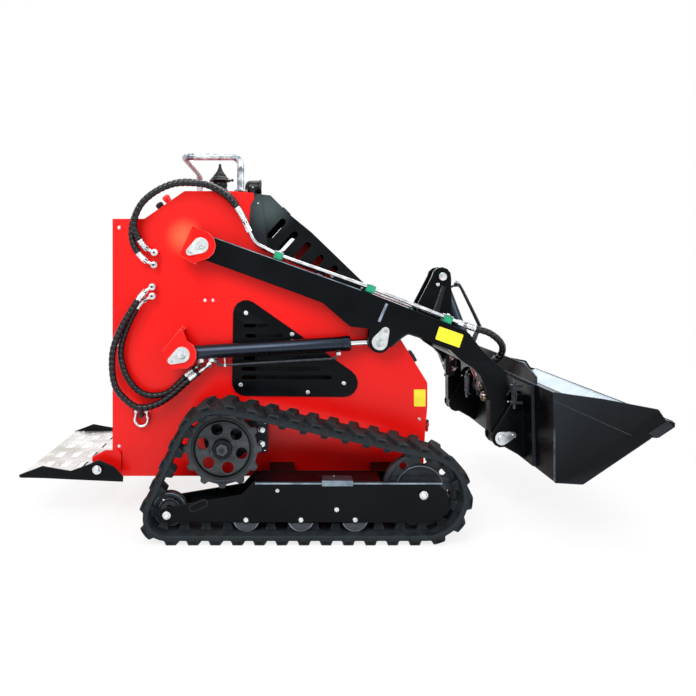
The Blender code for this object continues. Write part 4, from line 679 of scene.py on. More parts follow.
# columns: node, x, z, outer radius, the rim's inner radius; holes: how many, on what ring, radius, turn;
# radius of the ring painted as a highlight on the rim
for stem, x, z, reach, inner, count, holeRing, hole, turn, highlightRadius in (
        ("front_idler", 0.473, 0.157, 0.1255, 0.1100, 8, 0.0965, 0.0118, -9, 0.0812),
        ("rear_idler", -0.379, 0.090, 0.0585, 0.0433, 5, 0.0350, 0.0045, 129, 0.0555)):
    bore = 0.0146
    rim = [(reach - 0.0015, -0.013), (reach, -0.0115), (reach, 0.0115), (reach - 0.0015, 0.013),
           (inner + 0.003, 0.013), (inner, 0.0105), (inner, -0.0105), (inner + 0.003, -0.013)]
    hub = [(0.0280, -0.012), (0.0285, -0.0105), (0.0285, 0.0105), (0.0280, 0.012), (bore, 0.012), (bore, -0.012)]
    # a thin pale ring: a painted highlight on the wheel's rim
    band = [(highlightRadius - 0.0018, -0.0140), (highlightRadius, -0.0140), (highlightRadius + 0.0012, -0.0125), (highlightRadius + 0.0012, 0.0125),
            (highlightRadius, 0.0140), (highlightRadius - 0.0018, 0.0140)]
    middle = (x, track["centre"], z)
    holes = [circle(spot, hole, 20) for spot in spotsRound(x, z, holeRing, count, turn)]
    web = plate(circle((x, z), inner + 0.001, 64), middle[1] - 0.005, middle[1] + 0.005, 0.001,
                [*holes, circle((x, z), bore + 0.004, 32)])
    makePair("finish" + stem.title().replace("_", ""),
             [(join(ringTurned(rim, middle, leftward, 72), ringTurned(hub, middle, leftward, 40), web), ironCasting),
              (ringTurned(band, middle, leftward, 72), steelAndPaintedHighlight)], "chassis", (stem + "_{}",), 28)


frameTrim = {"face": -0.4895, "innerFace": -0.3712, "rollers": (-0.116, 0.066, 0.246), "rollerZ": 0.0750,
             "flange": ((-0.086, 0.136), (0.239, 0.536)), "cover": (0.136, 0.239), "nipple": (0.179, -0.452, 0.198),
             "slot": ((-0.292, 0.112, 0.0095), (-0.256, 0.128, 0.0095)), "rearAxle": (-0.379, 0.090),
             "nose": ((0.430, 0.110), (0.5560, 0.110), (0.5560, 0.160), (0.5440, 0.1988), (0.430, 0.1988))}
# columns: x, z, size, how far its washer stands off the frame's face
frameBolts = ((-0.379, 0.090, 0.0105, 0.0055), (0.473, 0.157, 0.011, 0.0055), (0.185, 0.107, 0.006, 0.0002),
              (-0.012, 0.170, 0.005, 0.0002))


def frameFittings():
    # rollers' rims and bolts, axle bolts, the tensioner's slot trim, a grease nipple, a wear pad, and painted
    # highlights on the rollers' rims, the rear axle and the top flange's edge
    y, rollerZ = frameTrim["face"], frameTrim["rollerZ"]
    rollers, zinc, dark, paintedHighlights = [], [], [], []
    for x in frameTrim["rollers"]:
        # a thin pale ring on each roller: a painted highlight on its rim
        paintedHighlights.append(ringTurned([(0.0408, 0), (0.0440, 0), (0.0440, 0.0012), (0.0408, 0.0012)],
                                 (x, -0.4822, rollerZ), leftward, 48))
        rollers.append(ringTurned([(0.0432, 0.001), (0.0445, 0.004), (0.0445, 0.012), (0.014, 0.012), (0.014, 0.001)],
                                  (x, track["centre"] - 0.052, rollerZ), leftward, 48))
        zinc.append(hexBolt((x, y - 0.0005, rollerZ), rightward, 0.0095))
    zinc += [hexBolt((x, y - off, z), rightward, size) for x, z, size, off in frameBolts]
    zinc.append(turned([(hair, 0), (0.0045, 0), (0.0045, 0.004), (0.0022, 0.005), (0.0030, 0.009), (0.0012, 0.011),
                        (hair, 0.0112)], frameTrim["nipple"], upward, 12))
    dark.append(block((0.139, 0.240), (-0.4885, -0.440), (0.1985, 0.2045), 0.002))
    slotLine = roundHull(frameTrim["slot"], 20)
    dark.append(plate(inset(slotLine, -0.004), y - 0.0022, y + 0.002, 0.0008, [slotLine]))
    # the cheeks' square noses, a painted highlight along the top flange's edge, and the cover plate folded over it in
    # the same pale steel
    nose = roundCorners(frameTrim["nose"], 0.008)
    inner = frameTrim["innerFace"]
    dark += [plate(nose, y + 0.0002, y + 0.0062, 0.0008), plate(nose, inner, inner - 0.0058, 0.0008)]
    paintedHighlights += [block(ends, (y - 0.0006, y + 0.0060), (0.1906, 0.1962), 0.0004) for ends in frameTrim["flange"]]
    paintedHighlights.append(block(frameTrim["cover"], (y - 0.0026, y + 0.0010), (0.1850, 0.2036), 0.0008))
    # a thin pale ring round the rear axle: a painted highlight
    paintedHighlights.append(ringTurned([(0.0350, -0.0135), (0.0366, -0.0135), (0.0366, -0.0126), (0.0350, -0.0126)],
                             np.insert(frameTrim["rearAxle"], 1, track["centre"]), leftward, 48))
    return [(join(*rollers), ironCasting), (join(*zinc), brightZinc), (join(*dark), blackPowderCoat),
            (join(*paintedHighlights), steelAndPaintedHighlight)]


makePair("finishFrameFittings", frameFittings(), "chassis")

print("stage: cylinders")


def alongLine(start, end, y):
    # a cylinder's base as a point, its directions along and up, and the length between its pins
    start, end = np.array([start[0], y, start[1]]), np.array([end[0], y, end[1]])
    line = unit(end - start)
    up = np.array([-line[2], 0, line[0]])
    return start, line, up, float(np.linalg.norm(end - start))


def cylinderForms(start, end, y, size):
    # a welded barrel with its base eye, collar and gland, and a rod with the far eye; the bore is
    # deep enough for the rod's tail at both ends of its stroke
    at, line, _, reach = alongLine(start, end, y)
    radius, rod, eye, eyeHalf, pinR, mouth, bore, tail = (
        size[k] for k in ("radius", "rod", "eye", "eyeHalf", "pin", "mouth", "bore", "tail"))
    body = [(hair, 0.010), (radius * 0.72, 0.012), (radius * 0.92, eye + 0.004), (radius, eye + 0.010),
            (radius, mouth - 0.034), (radius - 0.0012, mouth - 0.033), (radius - 0.0012, mouth - 0.0305),
            (radius + 0.0018, mouth - 0.030), (radius + 0.0018, mouth - 0.006), (radius + 0.0006, mouth - 0.003),
            (radius - 0.002, mouth), (rod + 0.0045, mouth), (rod + 0.0030, mouth - 0.0015),
            (rod + 0.0004, mouth - 0.0015), (rod + 0.0004, bore + 0.001), (hair, bore)]
    barrel = [turned(body, at, line, 48)]

    def eyeRing(centre):
        wide = [(eye - 0.0015, -eyeHalf), (eye, -eyeHalf + 0.0015), (eye, eyeHalf - 0.0015), (eye - 0.0015, eyeHalf),
                (pinR + 0.0010, eyeHalf), (pinR + 0.0004, eyeHalf - 0.001), (pinR + 0.0004, -eyeHalf + 0.001),
                (pinR + 0.0010, -eyeHalf)]
        return ringTurned(wide, centre, leftward, 40)

    barrel.append(eyeRing(at))
    beads = [weld(at + line * (eye + 0.006), line, radius * 0.93, 0.0028)]
    rodBody = [(hair, tail), (rod, tail + 0.001), (rod, reach - eye - 0.004), (rod - 0.001, reach - eye - 0.001),
               (hair, reach - eye + 0.004)]
    rodForm = turned(rodBody, at, line, 40)
    far = at + line * reach
    neck = turned([(hair, reach - eye - 0.016), (rod + 0.003, reach - eye - 0.015),
                   (rod + 0.006, reach - eye - 0.008), (rod + 0.006, reach - eye * 0.75), (hair, reach - eye * 0.7)],
                  at, line, 32)
    return join(*barrel, *beads), rodForm, join(eyeRing(far), neck)


lift = {"radius": 0.0265, "rod": 0.0125, "eye": 0.026, "eyeHalf": 0.017, "pin": 0.0125, "mouth": 0.610, "bore": 0.060,
        "tail": 0.110, "base": (-0.355, 0.599), "far": (0.356, 0.642), "y": -0.285}
at, line, up = alongLine(lift["base"], lift["far"], lift["y"])[:3]
barrel, rodForm, rodEye = cylinderForms(lift["base"], lift["far"], lift["y"], lift)


def lineAt(along, drop):
    # a point so far along the lift cylinder from its base pin and so far under its axis
    return at + line * along - up * drop


ports = [turned([(hair, 0.022), (0.0120, 0.023), (0.0120, 0.036), (0.0105, 0.038), (hair, 0.038)],
                at + line * along, -up, 20) for along in (0.062, 0.100)]
pipeRun = [lineAt(0.118, 0.034), lineAt(0.126, 0.048), lineAt(0.142, 0.052), lineAt(0.300, 0.052),
           lineAt(0.534, 0.052), lineAt(0.550, 0.049), lineAt(0.560, 0.040), lineAt(0.564, 0.026)]
steelLine = tube(smoothPath(pipeRun, 120), 0.0042, 14)
nuts = [barTurned([(0.0085, 0.0), (0.0085, 0.010), (0.0060, 0.013)], lineAt(0.564, 0.040), up, 6),
        barTurned([(0.0085, 0.0), (0.0085, 0.012)], lineAt(0.108, 0.034), line, 6)]
post = turned([(hair, 0.020), (0.0028, 0.021), (0.0028, 0.046), (0.0062, 0.047), (0.0062, 0.0572), (hair, 0.0576)],
              at + line * 0.148, -up, 16)
makePair("finishLiftBarrel", [(barrel, cylinderEnamel), (join(*ports, *nuts, post), brightZinc),
                              (steelLine, dullGreyAndEdgeHighlight)], "lift_barrel_{}", ("lift_barrel_{}",), 32)
makePair("finishLiftRod", [(rodForm, hardChrome), (rodEye, blackPowderCoat)], "lift_rod_{}",
         ("lift_rod_{}",), 32)

tilt = {"radius": 0.028, "rod": 0.014, "eye": 0.024, "eyeHalf": 0.025, "pin": 0.012, "mouth": 0.375, "bore": 0.060,
        "tail": 0.088, "base": (0.649, 0.876), "far": (0.822, 0.425), "y": 0.0, "ports": (0.052, 0.330)}
barrel, rodForm, rodEye = cylinderForms(tilt["base"], tilt["far"], tilt["y"], tilt)
at, line, up = alongLine(tilt["base"], tilt["far"], tilt["y"])[:3]
ports = [turned([(hair, 0.022), (0.0110, 0.023), (0.0110, 0.036), (hair, 0.037)], at + line * along, up, 20)
         for along in tilt["ports"]]
makePiece("finishTiltBarrel", [(barrel, cylinderEnamel), (join(*ports), brightZinc)], "tilt_barrel",
          ("tilt_barrel",), 32)
makePiece("finishTiltRod", [(rodForm, hardChrome), (rodEye, blackPowderCoat)], "tilt_rod",
          ("tilt_rod",), 32)

print("stage: hoses and pipes")

hose = {"radius": 0.0098, "ferrule": 0.0122, "nut": 0.0108, "neck": 0.028, "bodyOut": -0.2793, "banjoIn": -0.2685,
        "banjoOut": -0.2893, "banjoBolt": 0.0072, "guardPitch": 0.0190, "guardRise": 0.0021}
armSlopes = ((-0.2764, 1.0345), (0.295, 0.830), (0.664, 0.6855))


def onArm(x, height, y=0.0):
    # a point so high over the arm's top edge, square to it
    i = 0 if x < armSlopes[1][0] else 1
    (ax, az), (bx, bz) = armSlopes[i], armSlopes[i + 1]
    slope = unit((bx - ax, bz - az))
    share = (x - ax) / (bx - ax)
    return np.array([x - slope[1] * height, y, az + share * (bz - az) + slope[0] * height])


def armFrame(x):
    # directions along the arm's top edge at x, across it and out of it
    i = 0 if x < armSlopes[1][0] else 1
    slope = unit(np.subtract(armSlopes[i + 1], armSlopes[i]))
    return (slope[0], 0, slope[1]), leftward, (-slope[1], 0, slope[0])


def hoseForms(knots, banjo=True, crimp=0.048, stem=0.0):
    # a hose with its crimped ferrules, a banjo on a thin bent stem at the body, a coiled guard round
    # it and, where it is asked for, a second stem between the far ferrule and its nut
    length = np.linalg.norm(np.diff(np.asarray(knots, float), axis=0), axis=1).sum()
    path = smoothPath(knots, round(length / 0.0013))
    s = np.linspace(0, np.linalg.norm(np.diff(path, axis=0), axis=1).sum(), len(path))
    left = s[-1] - s
    neck = hose["neck"] if banjo else 0.0
    forms = [(tube(path[(left >= stem) & (s >= neck)][::4], hose["radius"], 18), hoseRubber)]
    # the guard: a ridge that turns once in each pitch, faded out in front of the ferrules
    inside = (s > neck + 0.048) & (left > crimp + 0.002)
    turn = s[inside, None] / hose["guardPitch"] - np.arange(18)[None] / 18
    rise = np.clip(1.6 * np.sin(math.pi * (turn % 1)), 0, 1)
    fade = np.clip(np.minimum(s[inside] - neck - 0.048, left[inside] - crimp - 0.002) / 0.002, 0, 1)[:, None]
    radius = hose["radius"] + 0.0002 + hose["guardRise"] * rise * fade
    forms.append((gridForm(ringAlong(path[inside], radius, 18)), guardPlastic))
    crimps = [tube(path[left < stem + 0.016][::3], 0.0068, 16)] if stem else []
    if banjo:
        crimps.append(tube(path[s < neck + 0.016][::3], 0.0066, 16))
    # columns: length from this end, the ferrule's start and end, the nut's start
    for run, start, end, low in ((s, neck + 0.010, neck + 0.046, neck or 0.002), (left, stem + 0.012, crimp, 0.002)):
        here = (run > start) & (run < end)
        radius = hose["ferrule"] - 0.0008 * (np.sin(run[here] / 0.0062 * math.pi) > 0.35)
        crimps.append(gridForm(ringAlong(path[here], radius, 20)))
        here = (run > low) & (run < low + 0.014)
        crimps.append(gridForm(ringAlong(path[here], np.full(here.sum(), hose["nut"]), 6)))
    if banjo:
        x, z = path[0, 0], path[0, 2]
        crimps.append(turned([(hair, 0), (0.0125, 0.0002), (0.0135, 0.002), (0.0135, 0.019), (0.0125, 0.021),
                              (hair, 0.021)], (x, hose["banjoIn"], z), rightward, 24))
        crimps.append(hexBolt((x, hose["banjoOut"], z), rightward, hose["banjoBolt"]))
        socket = turned([(hair, 0), (0.0042, 0), (0.0042, 0.0006), (hair, 0.0008)],
                        (x, hose["banjoOut"] - hose["banjoBolt"] * 0.72 - 0.0012, z), rightward, 6)
        forms.append((socket, mouldedPlastic))
    forms.append((join(*crimps), brightZinc))
    return forms


def portAt(along, drop=0.042):
    # the lift cylinder's port so far from its base pin, as x and z
    base, far = np.array(lift["base"]), np.array(lift["far"])
    line = unit(far - base)
    return base + line * along + np.array((line[1], -line[0])) * drop


portLead = unit((-0.80, -0.60)) * 0.052
pipeLead = unit(np.subtract((-0.1255, 1.066), (-0.098, 1.010))) * 0.045
# what the two hoses of a group share: the body that they blend to and the places in the frame where
# the blend starts and ends
hoseGroups = {"Upper": ("lift_arms", (-0.46, 0, 1.1), (-0.16, 0, 1.1)),
              "Lower": ("lift_barrel_{}", (-0.50, 0, 0.80), (-0.30, 0, 0.53))}
# columns: group, end, fitting on the body (x, z), knots (x, z, out), the far end (x, z), its y, its lead,
# end of its crimp, length of its stem
hoseRuns = (
    ("Upper", "Rear", (-0.462, 0.967),
     ((-0.500, 0.990, 0.283), (-0.533, 1.060, 0.298), (-0.512, 1.130, 0.308), (-0.462, 1.180, 0.310),
      (-0.394, 1.212, 0.310), (-0.327, 1.217, 0.310), (-0.259, 1.207, 0.308), (-0.190, 1.165, 0.302)),
     (-0.1255, 1.066), 0.2965, pipeLead, 0.074, 0.0),
    ("Upper", "Front", (-0.464, 0.922),
     ((-0.503, 0.944, 0.281), (-0.541, 1.000, 0.279), (-0.544, 1.072, 0.276), (-0.512, 1.146, 0.274),
      (-0.455, 1.195, 0.272), (-0.385, 1.224, 0.268), (-0.318, 1.226, 0.265), (-0.250, 1.210, 0.2645),
      (-0.185, 1.169, 0.268)),
     (-0.1255, 1.066), 0.2725, pipeLead, 0.074, 0.0),
    ("Lower", "Rear", (-0.470, 0.842),
     ((-0.496, 0.823, 0.290), (-0.530, 0.775, 0.303), (-0.585, 0.680, 0.303), (-0.611, 0.590, 0.303),
      (-0.600, 0.482, 0.303), (-0.5435, 0.418, 0.303), (-0.4975, 0.4050, 0.303), (-0.4417, 0.4200, 0.300),
      (-0.391, 0.4540, 0.296), (-0.344, 0.4950, 0.290)),
     portAt(0.100), 0.285, portLead, 0.102, 0.056),
    ("Lower", "Front", (-0.470, 0.808),
     ((-0.515, 0.780, 0.2793), (-0.560, 0.700, 0.2793), (-0.586, 0.610, 0.2793), (-0.572, 0.530, 0.2793),
      (-0.530, 0.468, 0.2793), (-0.477, 0.4440, 0.2793), (-0.416, 0.4540, 0.280), (-0.372, 0.4900, 0.282)),
     portAt(0.062), 0.285, portLead, 0.072, 0.026),
)
for group, end, first, middle, last, out, lead, crimp, stem in hoseRuns:
    knots = [(first[0], hose["bodyOut"], first[1]), *((x, -y, z) for x, z, y in middle),
             (last[0] + lead[0], -out, last[1] + lead[1]), (last[0], -out, last[1])]
    far, *blendPlaces = hoseGroups[group]
    makePair("finishHose" + group + end, hoseForms(knots, crimp=crimp, stem=stem), "chassis",
             (f"{group.lower()}_hose_{end.lower()}_{{}}",), 40,
             ("chassis", far, *((x + datumX, y, z) for x, y, z in blendPlaces)))

pipes = {"y": (-0.2965, -0.2725), "radius": 0.0068, "over": 0.019, "end": 0.650, "clamps": (-0.014, 0.320, 0.600),
         "rear": ((-0.1255, 1.066), (-0.1115, 1.037), (-0.098, 1.012), (-0.082, 0.996), (-0.060, 0.985)),
         "onArm": (-0.010, 0.14, 0.288, 0.300, 0.47, 0.650), "couplerLean": (-0.34, -0.74, -0.58),
         "plate": ((0.735, 0.432), (0.774, 0.432), (0.774, 0.524), (0.735, 0.524)),
         "plateFoot": ((0.7345, 0.7385), (-0.2605, -0.2180), (0.455, 0.505))}


def pipeForms():
    # two steel pipes on each arm in three green clamps, and the hoses on to the couplers in front
    over = pipes["over"]
    zinc, green, dark, couplers, brass, forms = [], [], [], [], [], []
    for y in pipes["y"]:
        knots = [(x, y, z) for x, z in pipes["rear"]] + [tuple(onArm(x, over, y)) for x in pipes["onArm"]]
        zinc.append(tube(smoothPath(knots, 260), pipes["radius"], 20))
        lead = unit(np.subtract(knots[0], knots[1]))
        zinc.append(barTurned([(0.0105, -0.026), (0.0112, -0.024), (0.0112, -0.008), (0.0100, -0.0065),
                               (0.0100, 0.002)], knots[0], lead, 6))
        zinc.append(barTurned([(0.0098, -0.014), (0.0104, -0.012), (0.0104, 0.010)],
                              onArm(pipes["end"], over, y), armFrame(pipes["end"])[0], 6))
    groove = ringTurned([(0.0080, -0.0163), (0.0092, -0.0163), (0.0092, 0.0163), (0.0080, 0.0163)], (0, 0, 0),
                        forward, 20)
    for x in pipes["clamps"]:
        where = (onArm(x, 0.0, 0.0), *armFrame(x))
        green.append(stood(block((-0.016, 0.016), (-0.309, -0.261), (0.0008, 0.0275), 0.0030), *where))
        zinc.append(stood(block((-0.0155, 0.0155), (-0.3085, -0.2615), (0.0272, 0.0300), 0.0008), *where))
        zinc.append(hexBolt(onArm(x, 0.0298, -0.2845), armFrame(x)[2], 0.0062))
        dark += [stood((groove[0] + (0, y, over), groove[1]), *where) for y in pipes["y"]]
    # hoses go over the arm's knee and down its inner face
    lead, way = np.array(armFrame(pipes["end"])[0]), unit(pipes["couplerLean"])
    for k, y in enumerate(pipes["y"]):
        start = onArm(pipes["end"], over, y)
        tail = np.array((0.756 + 0.008 * k, -0.2260, 0.500 - 0.044 * k))
        knots = [start + lead * 0.006, start + lead * 0.045, (0.762 + 0.006 * k, y + 0.004, 0.671),
                 (0.808 + 0.008 * k, y + 0.018, 0.630), (0.812 + 0.007 * k, -0.252 + 0.013 * k, 0.586),
                 (0.777 + 0.004 * k, -0.232 + 0.014 * k, 0.550), tail - way * 0.030 + (0.0, 0.0, 0.006), tail]
        forms += hoseForms(knots, banjo=False, crimp=0.030)
        zinc.append(turned([(hair, -0.004), (0.0125, -0.004), (0.0125, 0.014), (0.0115, 0.015), (hair, 0.015)], tail,
                           way, 6))
        couplers.append(turned([(hair, 0.014), (0.0128, 0.014), (0.0140, 0.016), (0.0140, 0.024), (0.0124, 0.026),
                                (0.0124, 0.030), (0.0140, 0.032), (0.0140, 0.040), (0.0128, 0.042), (hair, 0.042)],
                               tail, way, 28))
        brass.append(turned([(hair, 0.041), (0.0100, 0.041), (0.0108, 0.043), (0.0108, 0.050), (0.0080, 0.052),
                             (0.0078, 0.046), (hair, 0.046)], tail, way, 24))
    bracket = [plate(roundCorners(pipes["plate"], 0.006), -0.2205, -0.2165, 0.001), block(*pipes["plateFoot"], 0.001)]
    return forms + [(join(*zinc, *couplers), brightZinc), (join(*green), greenNylon), (join(*dark), hoseRubber),
                    (join(*brass), dullBrass), (join(*bracket), blackPowderCoat)]


makePair("finishArmPipes", pipeForms(), "lift_arms", ("arm_pipes_{}",), 34)


towerHose = {"radius": 0.0058, "clip": (0.724, -0.004, 0.8380),
             "upper": ((0.752, -0.014, 0.800), (0.8135, -0.014, 0.674), (0.8115, -0.018, 0.656),
                       (0.797, -0.030, 0.645), (0.780, -0.042, 0.615), (0.745, -0.045, 0.586),
                       (0.7135, -0.040, 0.576)),
             "lower": ((0.760, 0.013, 0.796), (0.8165, 0.013, 0.676), (0.8150, 0.012, 0.657), (0.802, 0.008, 0.643),
                       (0.7925, 0.002, 0.625))}


def towerHoses():
    # two thin hoses from the clip by the tower's head down in front of the tilt cylinder
    at, line, out = alongLine(tilt["base"], tilt["far"], tilt["y"])[:3]
    ports = [at + line * along + out * 0.036 for along in tilt["ports"]]
    clip = np.array(towerHose["clip"])
    upper = [ports[0], ports[0] + out * 0.014, clip + (0.006, -0.008, 0.0), *towerHose["upper"]]
    lower = [clip + (0.000, 0.012, 0.008), clip + (0.012, 0.012, 0.002), *towerHose["lower"],
             ports[1] - line * 0.030 + out * 0.002, ports[1] - line * 0.004 + out * 0.002]
    hoses = [tube(smoothPath(knots, 150), towerHose["radius"], 14) for knots in (upper, lower)]
    zinc = [barTurned([(0.0090, -0.010), (0.0090, 0.008)], port, out, 6) for port in ports]
    zinc.append(barTurned([(0.0085, -0.010), (0.0085, 0.012)], clip + (0.0, 0.012, 0.009), (0.2, 0, 1), 6))
    zinc.append(barTurned([(0.0080, -0.012), (0.0080, 0.006)], (0.7185, -0.0405, 0.578), unit((1, 0, 0.2)), 6))
    arm = stood(block((0.0, 0.052), (-0.020, 0.020), (-0.0025, 0.0025), 0.001),
                (0.6840, 0.0, 0.8340), (0.995, 0, 0.095), leftward, (-0.095, 0, 0.995))
    return [(join(*hoses), hoseRubber), (join(*zinc), brightZinc), (arm, blackPowderCoat)]


makePiece("finishTowerHoses", towerHoses(), None, (), 40,
          ("lift_arms", "tilt_barrel", (0.728 + datumX, 0, 0.60), (0.790 + datumX, 0, 0.60)))

print("stage: controls and lamp")


handlebar = {"front": -0.151, "rear": -0.362, "out": 0.220, "foot": 1.1963, "top": 1.3285, "bend": 0.032,
             "tube": 0.0138, "boltRing": 0.0208}


def handlebarForms():
    # one bent tube on two flanges: the near front post, the side bar, the rear bow and the far rear post
    x, back, out, base, top, bend = (handlebar[k] for k in ("front", "rear", "out", "foot", "top", "bend"))
    quarter = np.radians(np.linspace(0, 90, 9))
    front = [(x - bend + bend * math.cos(t), -out, top - bend + bend * math.sin(t)) for t in quarter]
    rear = [(back + bend - bend * math.sin(t), -out + bend - bend * math.cos(t), top) for t in quarter]
    far = [(back, out - bend + bend * math.sin(t), top - bend + bend * math.cos(t)) for t in quarter]
    knots = np.array([(x, -out, base), *front, *rear, *far, (back, out, base)])
    steel = [gridForm(carried(knots, handlebar["tube"], 28))]
    for px, py in ((x, -out), (back, out)):
        steel.append(barTurned([(0.0245, 0), (0.026, 0.0012), (0.026, 0.0050), (0.0245, 0.0060), (0.0172, 0.0062),
                                (0.0146, 0.0095)], (px, py, base), upward, 36))
        steel += [hexBolt((bx, by, base + 0.0055), upward, 0.0032, False)
                  for bx, by in spotsRound(px, py, handlebar["boltRing"], 4, 45)]
    return join(*steel)


makePiece("finishHandlebar", [(handlebarForms(), wrappedTube)], "chassis", ("handlebar",), 34)


joystick = {"x": -0.255, "y": 0.045, "foot": 1.1963, "boltRing": 0.0445}


def joystickForms():
    # a bellows on its ring under a wide pleated hood that comes to a point at a small grip
    boot = [(hair, 0.0115), (0.0300, 0.0118), (0.0345, 0.0200), (0.0300, 0.0300), (0.0335, 0.0400), (0.0290, 0.0500),
            (0.0325, 0.0600), (0.0290, 0.0720), (0.0440, 0.0765), (0.0450, 0.0790), (0.0412, 0.0830),
            (0.0376, 0.0860), (0.0376, 0.0885), (0.0310, 0.0950), (0.0285, 0.0965), (0.0283, 0.0995),
            (0.0205, 0.1090), (0.0125, 0.1210), (0.0080, 0.1310), (0.0066, 0.1370), (hair, 0.1380)]
    grip = [(hair, 0.1350), (0.0054, 0.1355), (0.0060, 0.1430), (0.0048, 0.1490), (hair, 0.1500)]
    ring = [(hair, 0), (0.0470, 0), (0.0480, 0.0015), (0.0480, 0.0095), (0.0465, 0.0118), (hair, 0.012)]
    x, y, foot = joystick["x"], joystick["y"], joystick["foot"]
    at = (x, y, foot)
    bolts = [hexBolt((bx, by, foot + 0.0115), upward, 0.0028, False)
             for bx, by in spotsRound(x, y, joystick["boltRing"], 4, 45)]
    switch = turned([(hair, 0), (0.0036, 0), (0.0036, 0.017), (0.0056, 0.018), (0.0056, 0.026), (hair, 0.027)],
                    (x + 0.032, y - 0.015, foot + 0.0782), unit((1, -0.1, 0.05)), 16)
    return [(join(turned(boot, at, upward, 40), turned(grip, at, upward, 32), switch), mouldedPlastic),
            (turned(ring, at, upward, 48), blackPowderCoat), (join(*bolts), brightZinc)]


makePiece("finishJoystick", joystickForms(), "chassis", ("joystick",), 40)

# the console's slope falls to the rear from this point; columns of the levers: x, y, finish of the knob
slope = {"x": -0.507, "z": 1.093, "run": 0.149, "rise": 0.103}
levers = ((-0.440, 0.100, redEnamel), (-0.478, 0.150, mouldedPlastic))
leverUp = unit((-slope["rise"], 0, slope["run"]))
for k, (x, y, paint) in enumerate(levers):
    # a pleated boot, a stem and a pear-shaped knob, square to the slope
    at = np.array((x, y, slope["z"] + (x - slope["x"]) * slope["rise"] / slope["run"])) + leverUp * 0.0003
    boot = barTurned([(0.0195, 0), (0.0200, 0.003), (0.0150, 0.007), (0.0165, 0.010), (0.0110, 0.014),
                      (0.0120, 0.017), (0.0072, 0.022)], at, leverUp, 28)
    stem = barTurned([(0.0052, 0.018), (0.0052, 0.064)], at, leverUp, 20)
    knob = turned([(hair, 0.0600), (0.0098, 0.0604), (0.0125, 0.066), (0.0158, 0.076), (0.0178, 0.086),
                   (0.0165, 0.0935), (0.0110, 0.0972), (hair, 0.0982)], at, leverUp, 32)
    makePiece(f"finishLever{k + 1}", [(boot, hoseRubber), (stem, brightZinc), (knob, paint)], "chassis",
              (f"console_lever_{k + 1}",), 40)

workLamp = {"x": -0.114, "z": 1.2370, "footZ": 1.1965, "half": 0.0405}


def lampForms():
    # a domed can with a lens behind a bezel, on a U bracket and a post
    x, z, foot, half = (workLamp[k] for k in ("x", "z", "footZ", "half"))
    can = [(hair, -0.0340), (0.0100, -0.0335), (0.0200, -0.0310), (0.0280, -0.0250), (0.0325, -0.0170),
           (0.0345, -0.0080), (0.0350, 0.0), (0.0350, 0.0180), (0.0335, 0.0195), (0.0335, 0.0222), (0.0372, 0.0240),
           (0.0372, 0.0325), (0.0355, 0.0340), (0.0335, 0.0340), (0.0326, 0.0290), (hair, 0.0290)]
    lens = [(hair, 0.0285), (0.0325, 0.0285), (0.0325, 0.0302), (0.0260, 0.0318), (0.0140, 0.0330), (hair, 0.0333)]
    arm = [plate(roundHull([(x, z, 0.0085), (x, z - 0.033, 0.0095)], 15), side * half, side * (half - 0.0037), 0.0006)
           for side in (-1, 1)]
    bridge = block((x - 0.0095, x + 0.0095), (-half - 0.0005, half + 0.0005), (foot, foot + 0.004), 0.001)
    post = barTurned([(0.0080, -0.006), (0.0080, 0.0065)], (x, 0, foot - 0.004), upward, 20)
    bolts = [hexBolt((x, side * (half - 0.0002), z), (0, side, 0), 0.0040, False) for side in (-1, 1)]
    return [(turned(can, (x, 0, z), forward, 48), guardPlastic), (join(*arm, bridge, post), blackPowderCoat),
            (turned(lens, (x, 0, z), forward, 48), lampLens), (join(*bolts), brightZinc)]


makePiece("finishWorkLamp", lampForms(), "chassis", ("work_lamp",), 30)

print("stage: bolts, seams and small fittings")

# the right-hand faces that bolts and plates lie on, and each one's bolts: x, z, size
faceY = {"side": -0.2500, "vent": -0.2543, "bracket": -0.3252, "arm": -0.3100}
bodyBolts = {"vent": ((-0.1293, 0.7441, 0.0060), (0.0411, 0.6652, 0.0060), (-0.1489, 0.4777, 0.0060),
                      (0.2322, 0.4832, 0.0060), (0.0993, 0.4502, 0.0060)),
             "side": ((-0.2815, 0.790, 0.0042), (-0.2520, 0.790, 0.0042), (-0.085, 1.150, 0.0040),
                      (0.190, 0.879, 0.0040), (0.300, 0.835, 0.0040), (-0.600, 1.060, 0.0045),
                      (-0.600, 0.620, 0.0045), (-0.600, 0.250, 0.0045), (0.500, 0.230, 0.0045),
                      (0.512, 0.350, 0.0045))}


def dShackle(at, sideways, bow, pinLength, size):
    # a bow bent round with two eyes, and its pin; sideways is the pin's direction, the bow hangs down
    at, across, down = np.array(at, float), unit(sideways), np.array((0, 0, -1.0))
    angle = np.radians(np.linspace(-28, 208, 30))
    line = at + down * (bow * 1.25) + (np.cos(angle)[:, None] * across + np.sin(angle)[:, None] * down) * bow
    eyes = [at - across * bow * 0.80, at + across * bow * 0.80]
    path = np.concatenate([[eyes[1]], line, [eyes[0]]])
    ends = [barTurned([(size * 1.7, -size * 0.9), (size * 1.8, 0), (size * 1.7, size * 0.9)], eye, across, 24)
            for eye in eyes]
    half = pinLength / 2
    rod = turned([(hair, -half), (size * 1.5, -half), (size * 1.6, -half + size * 0.8), (size * 0.9, -half + size),
                  (size * 0.9, half - 0.001), (hair, half)], at, across, 20)
    return join(tube(smoothPath(path, 90), size, 16, np.cross(across, down)), *ends), rod


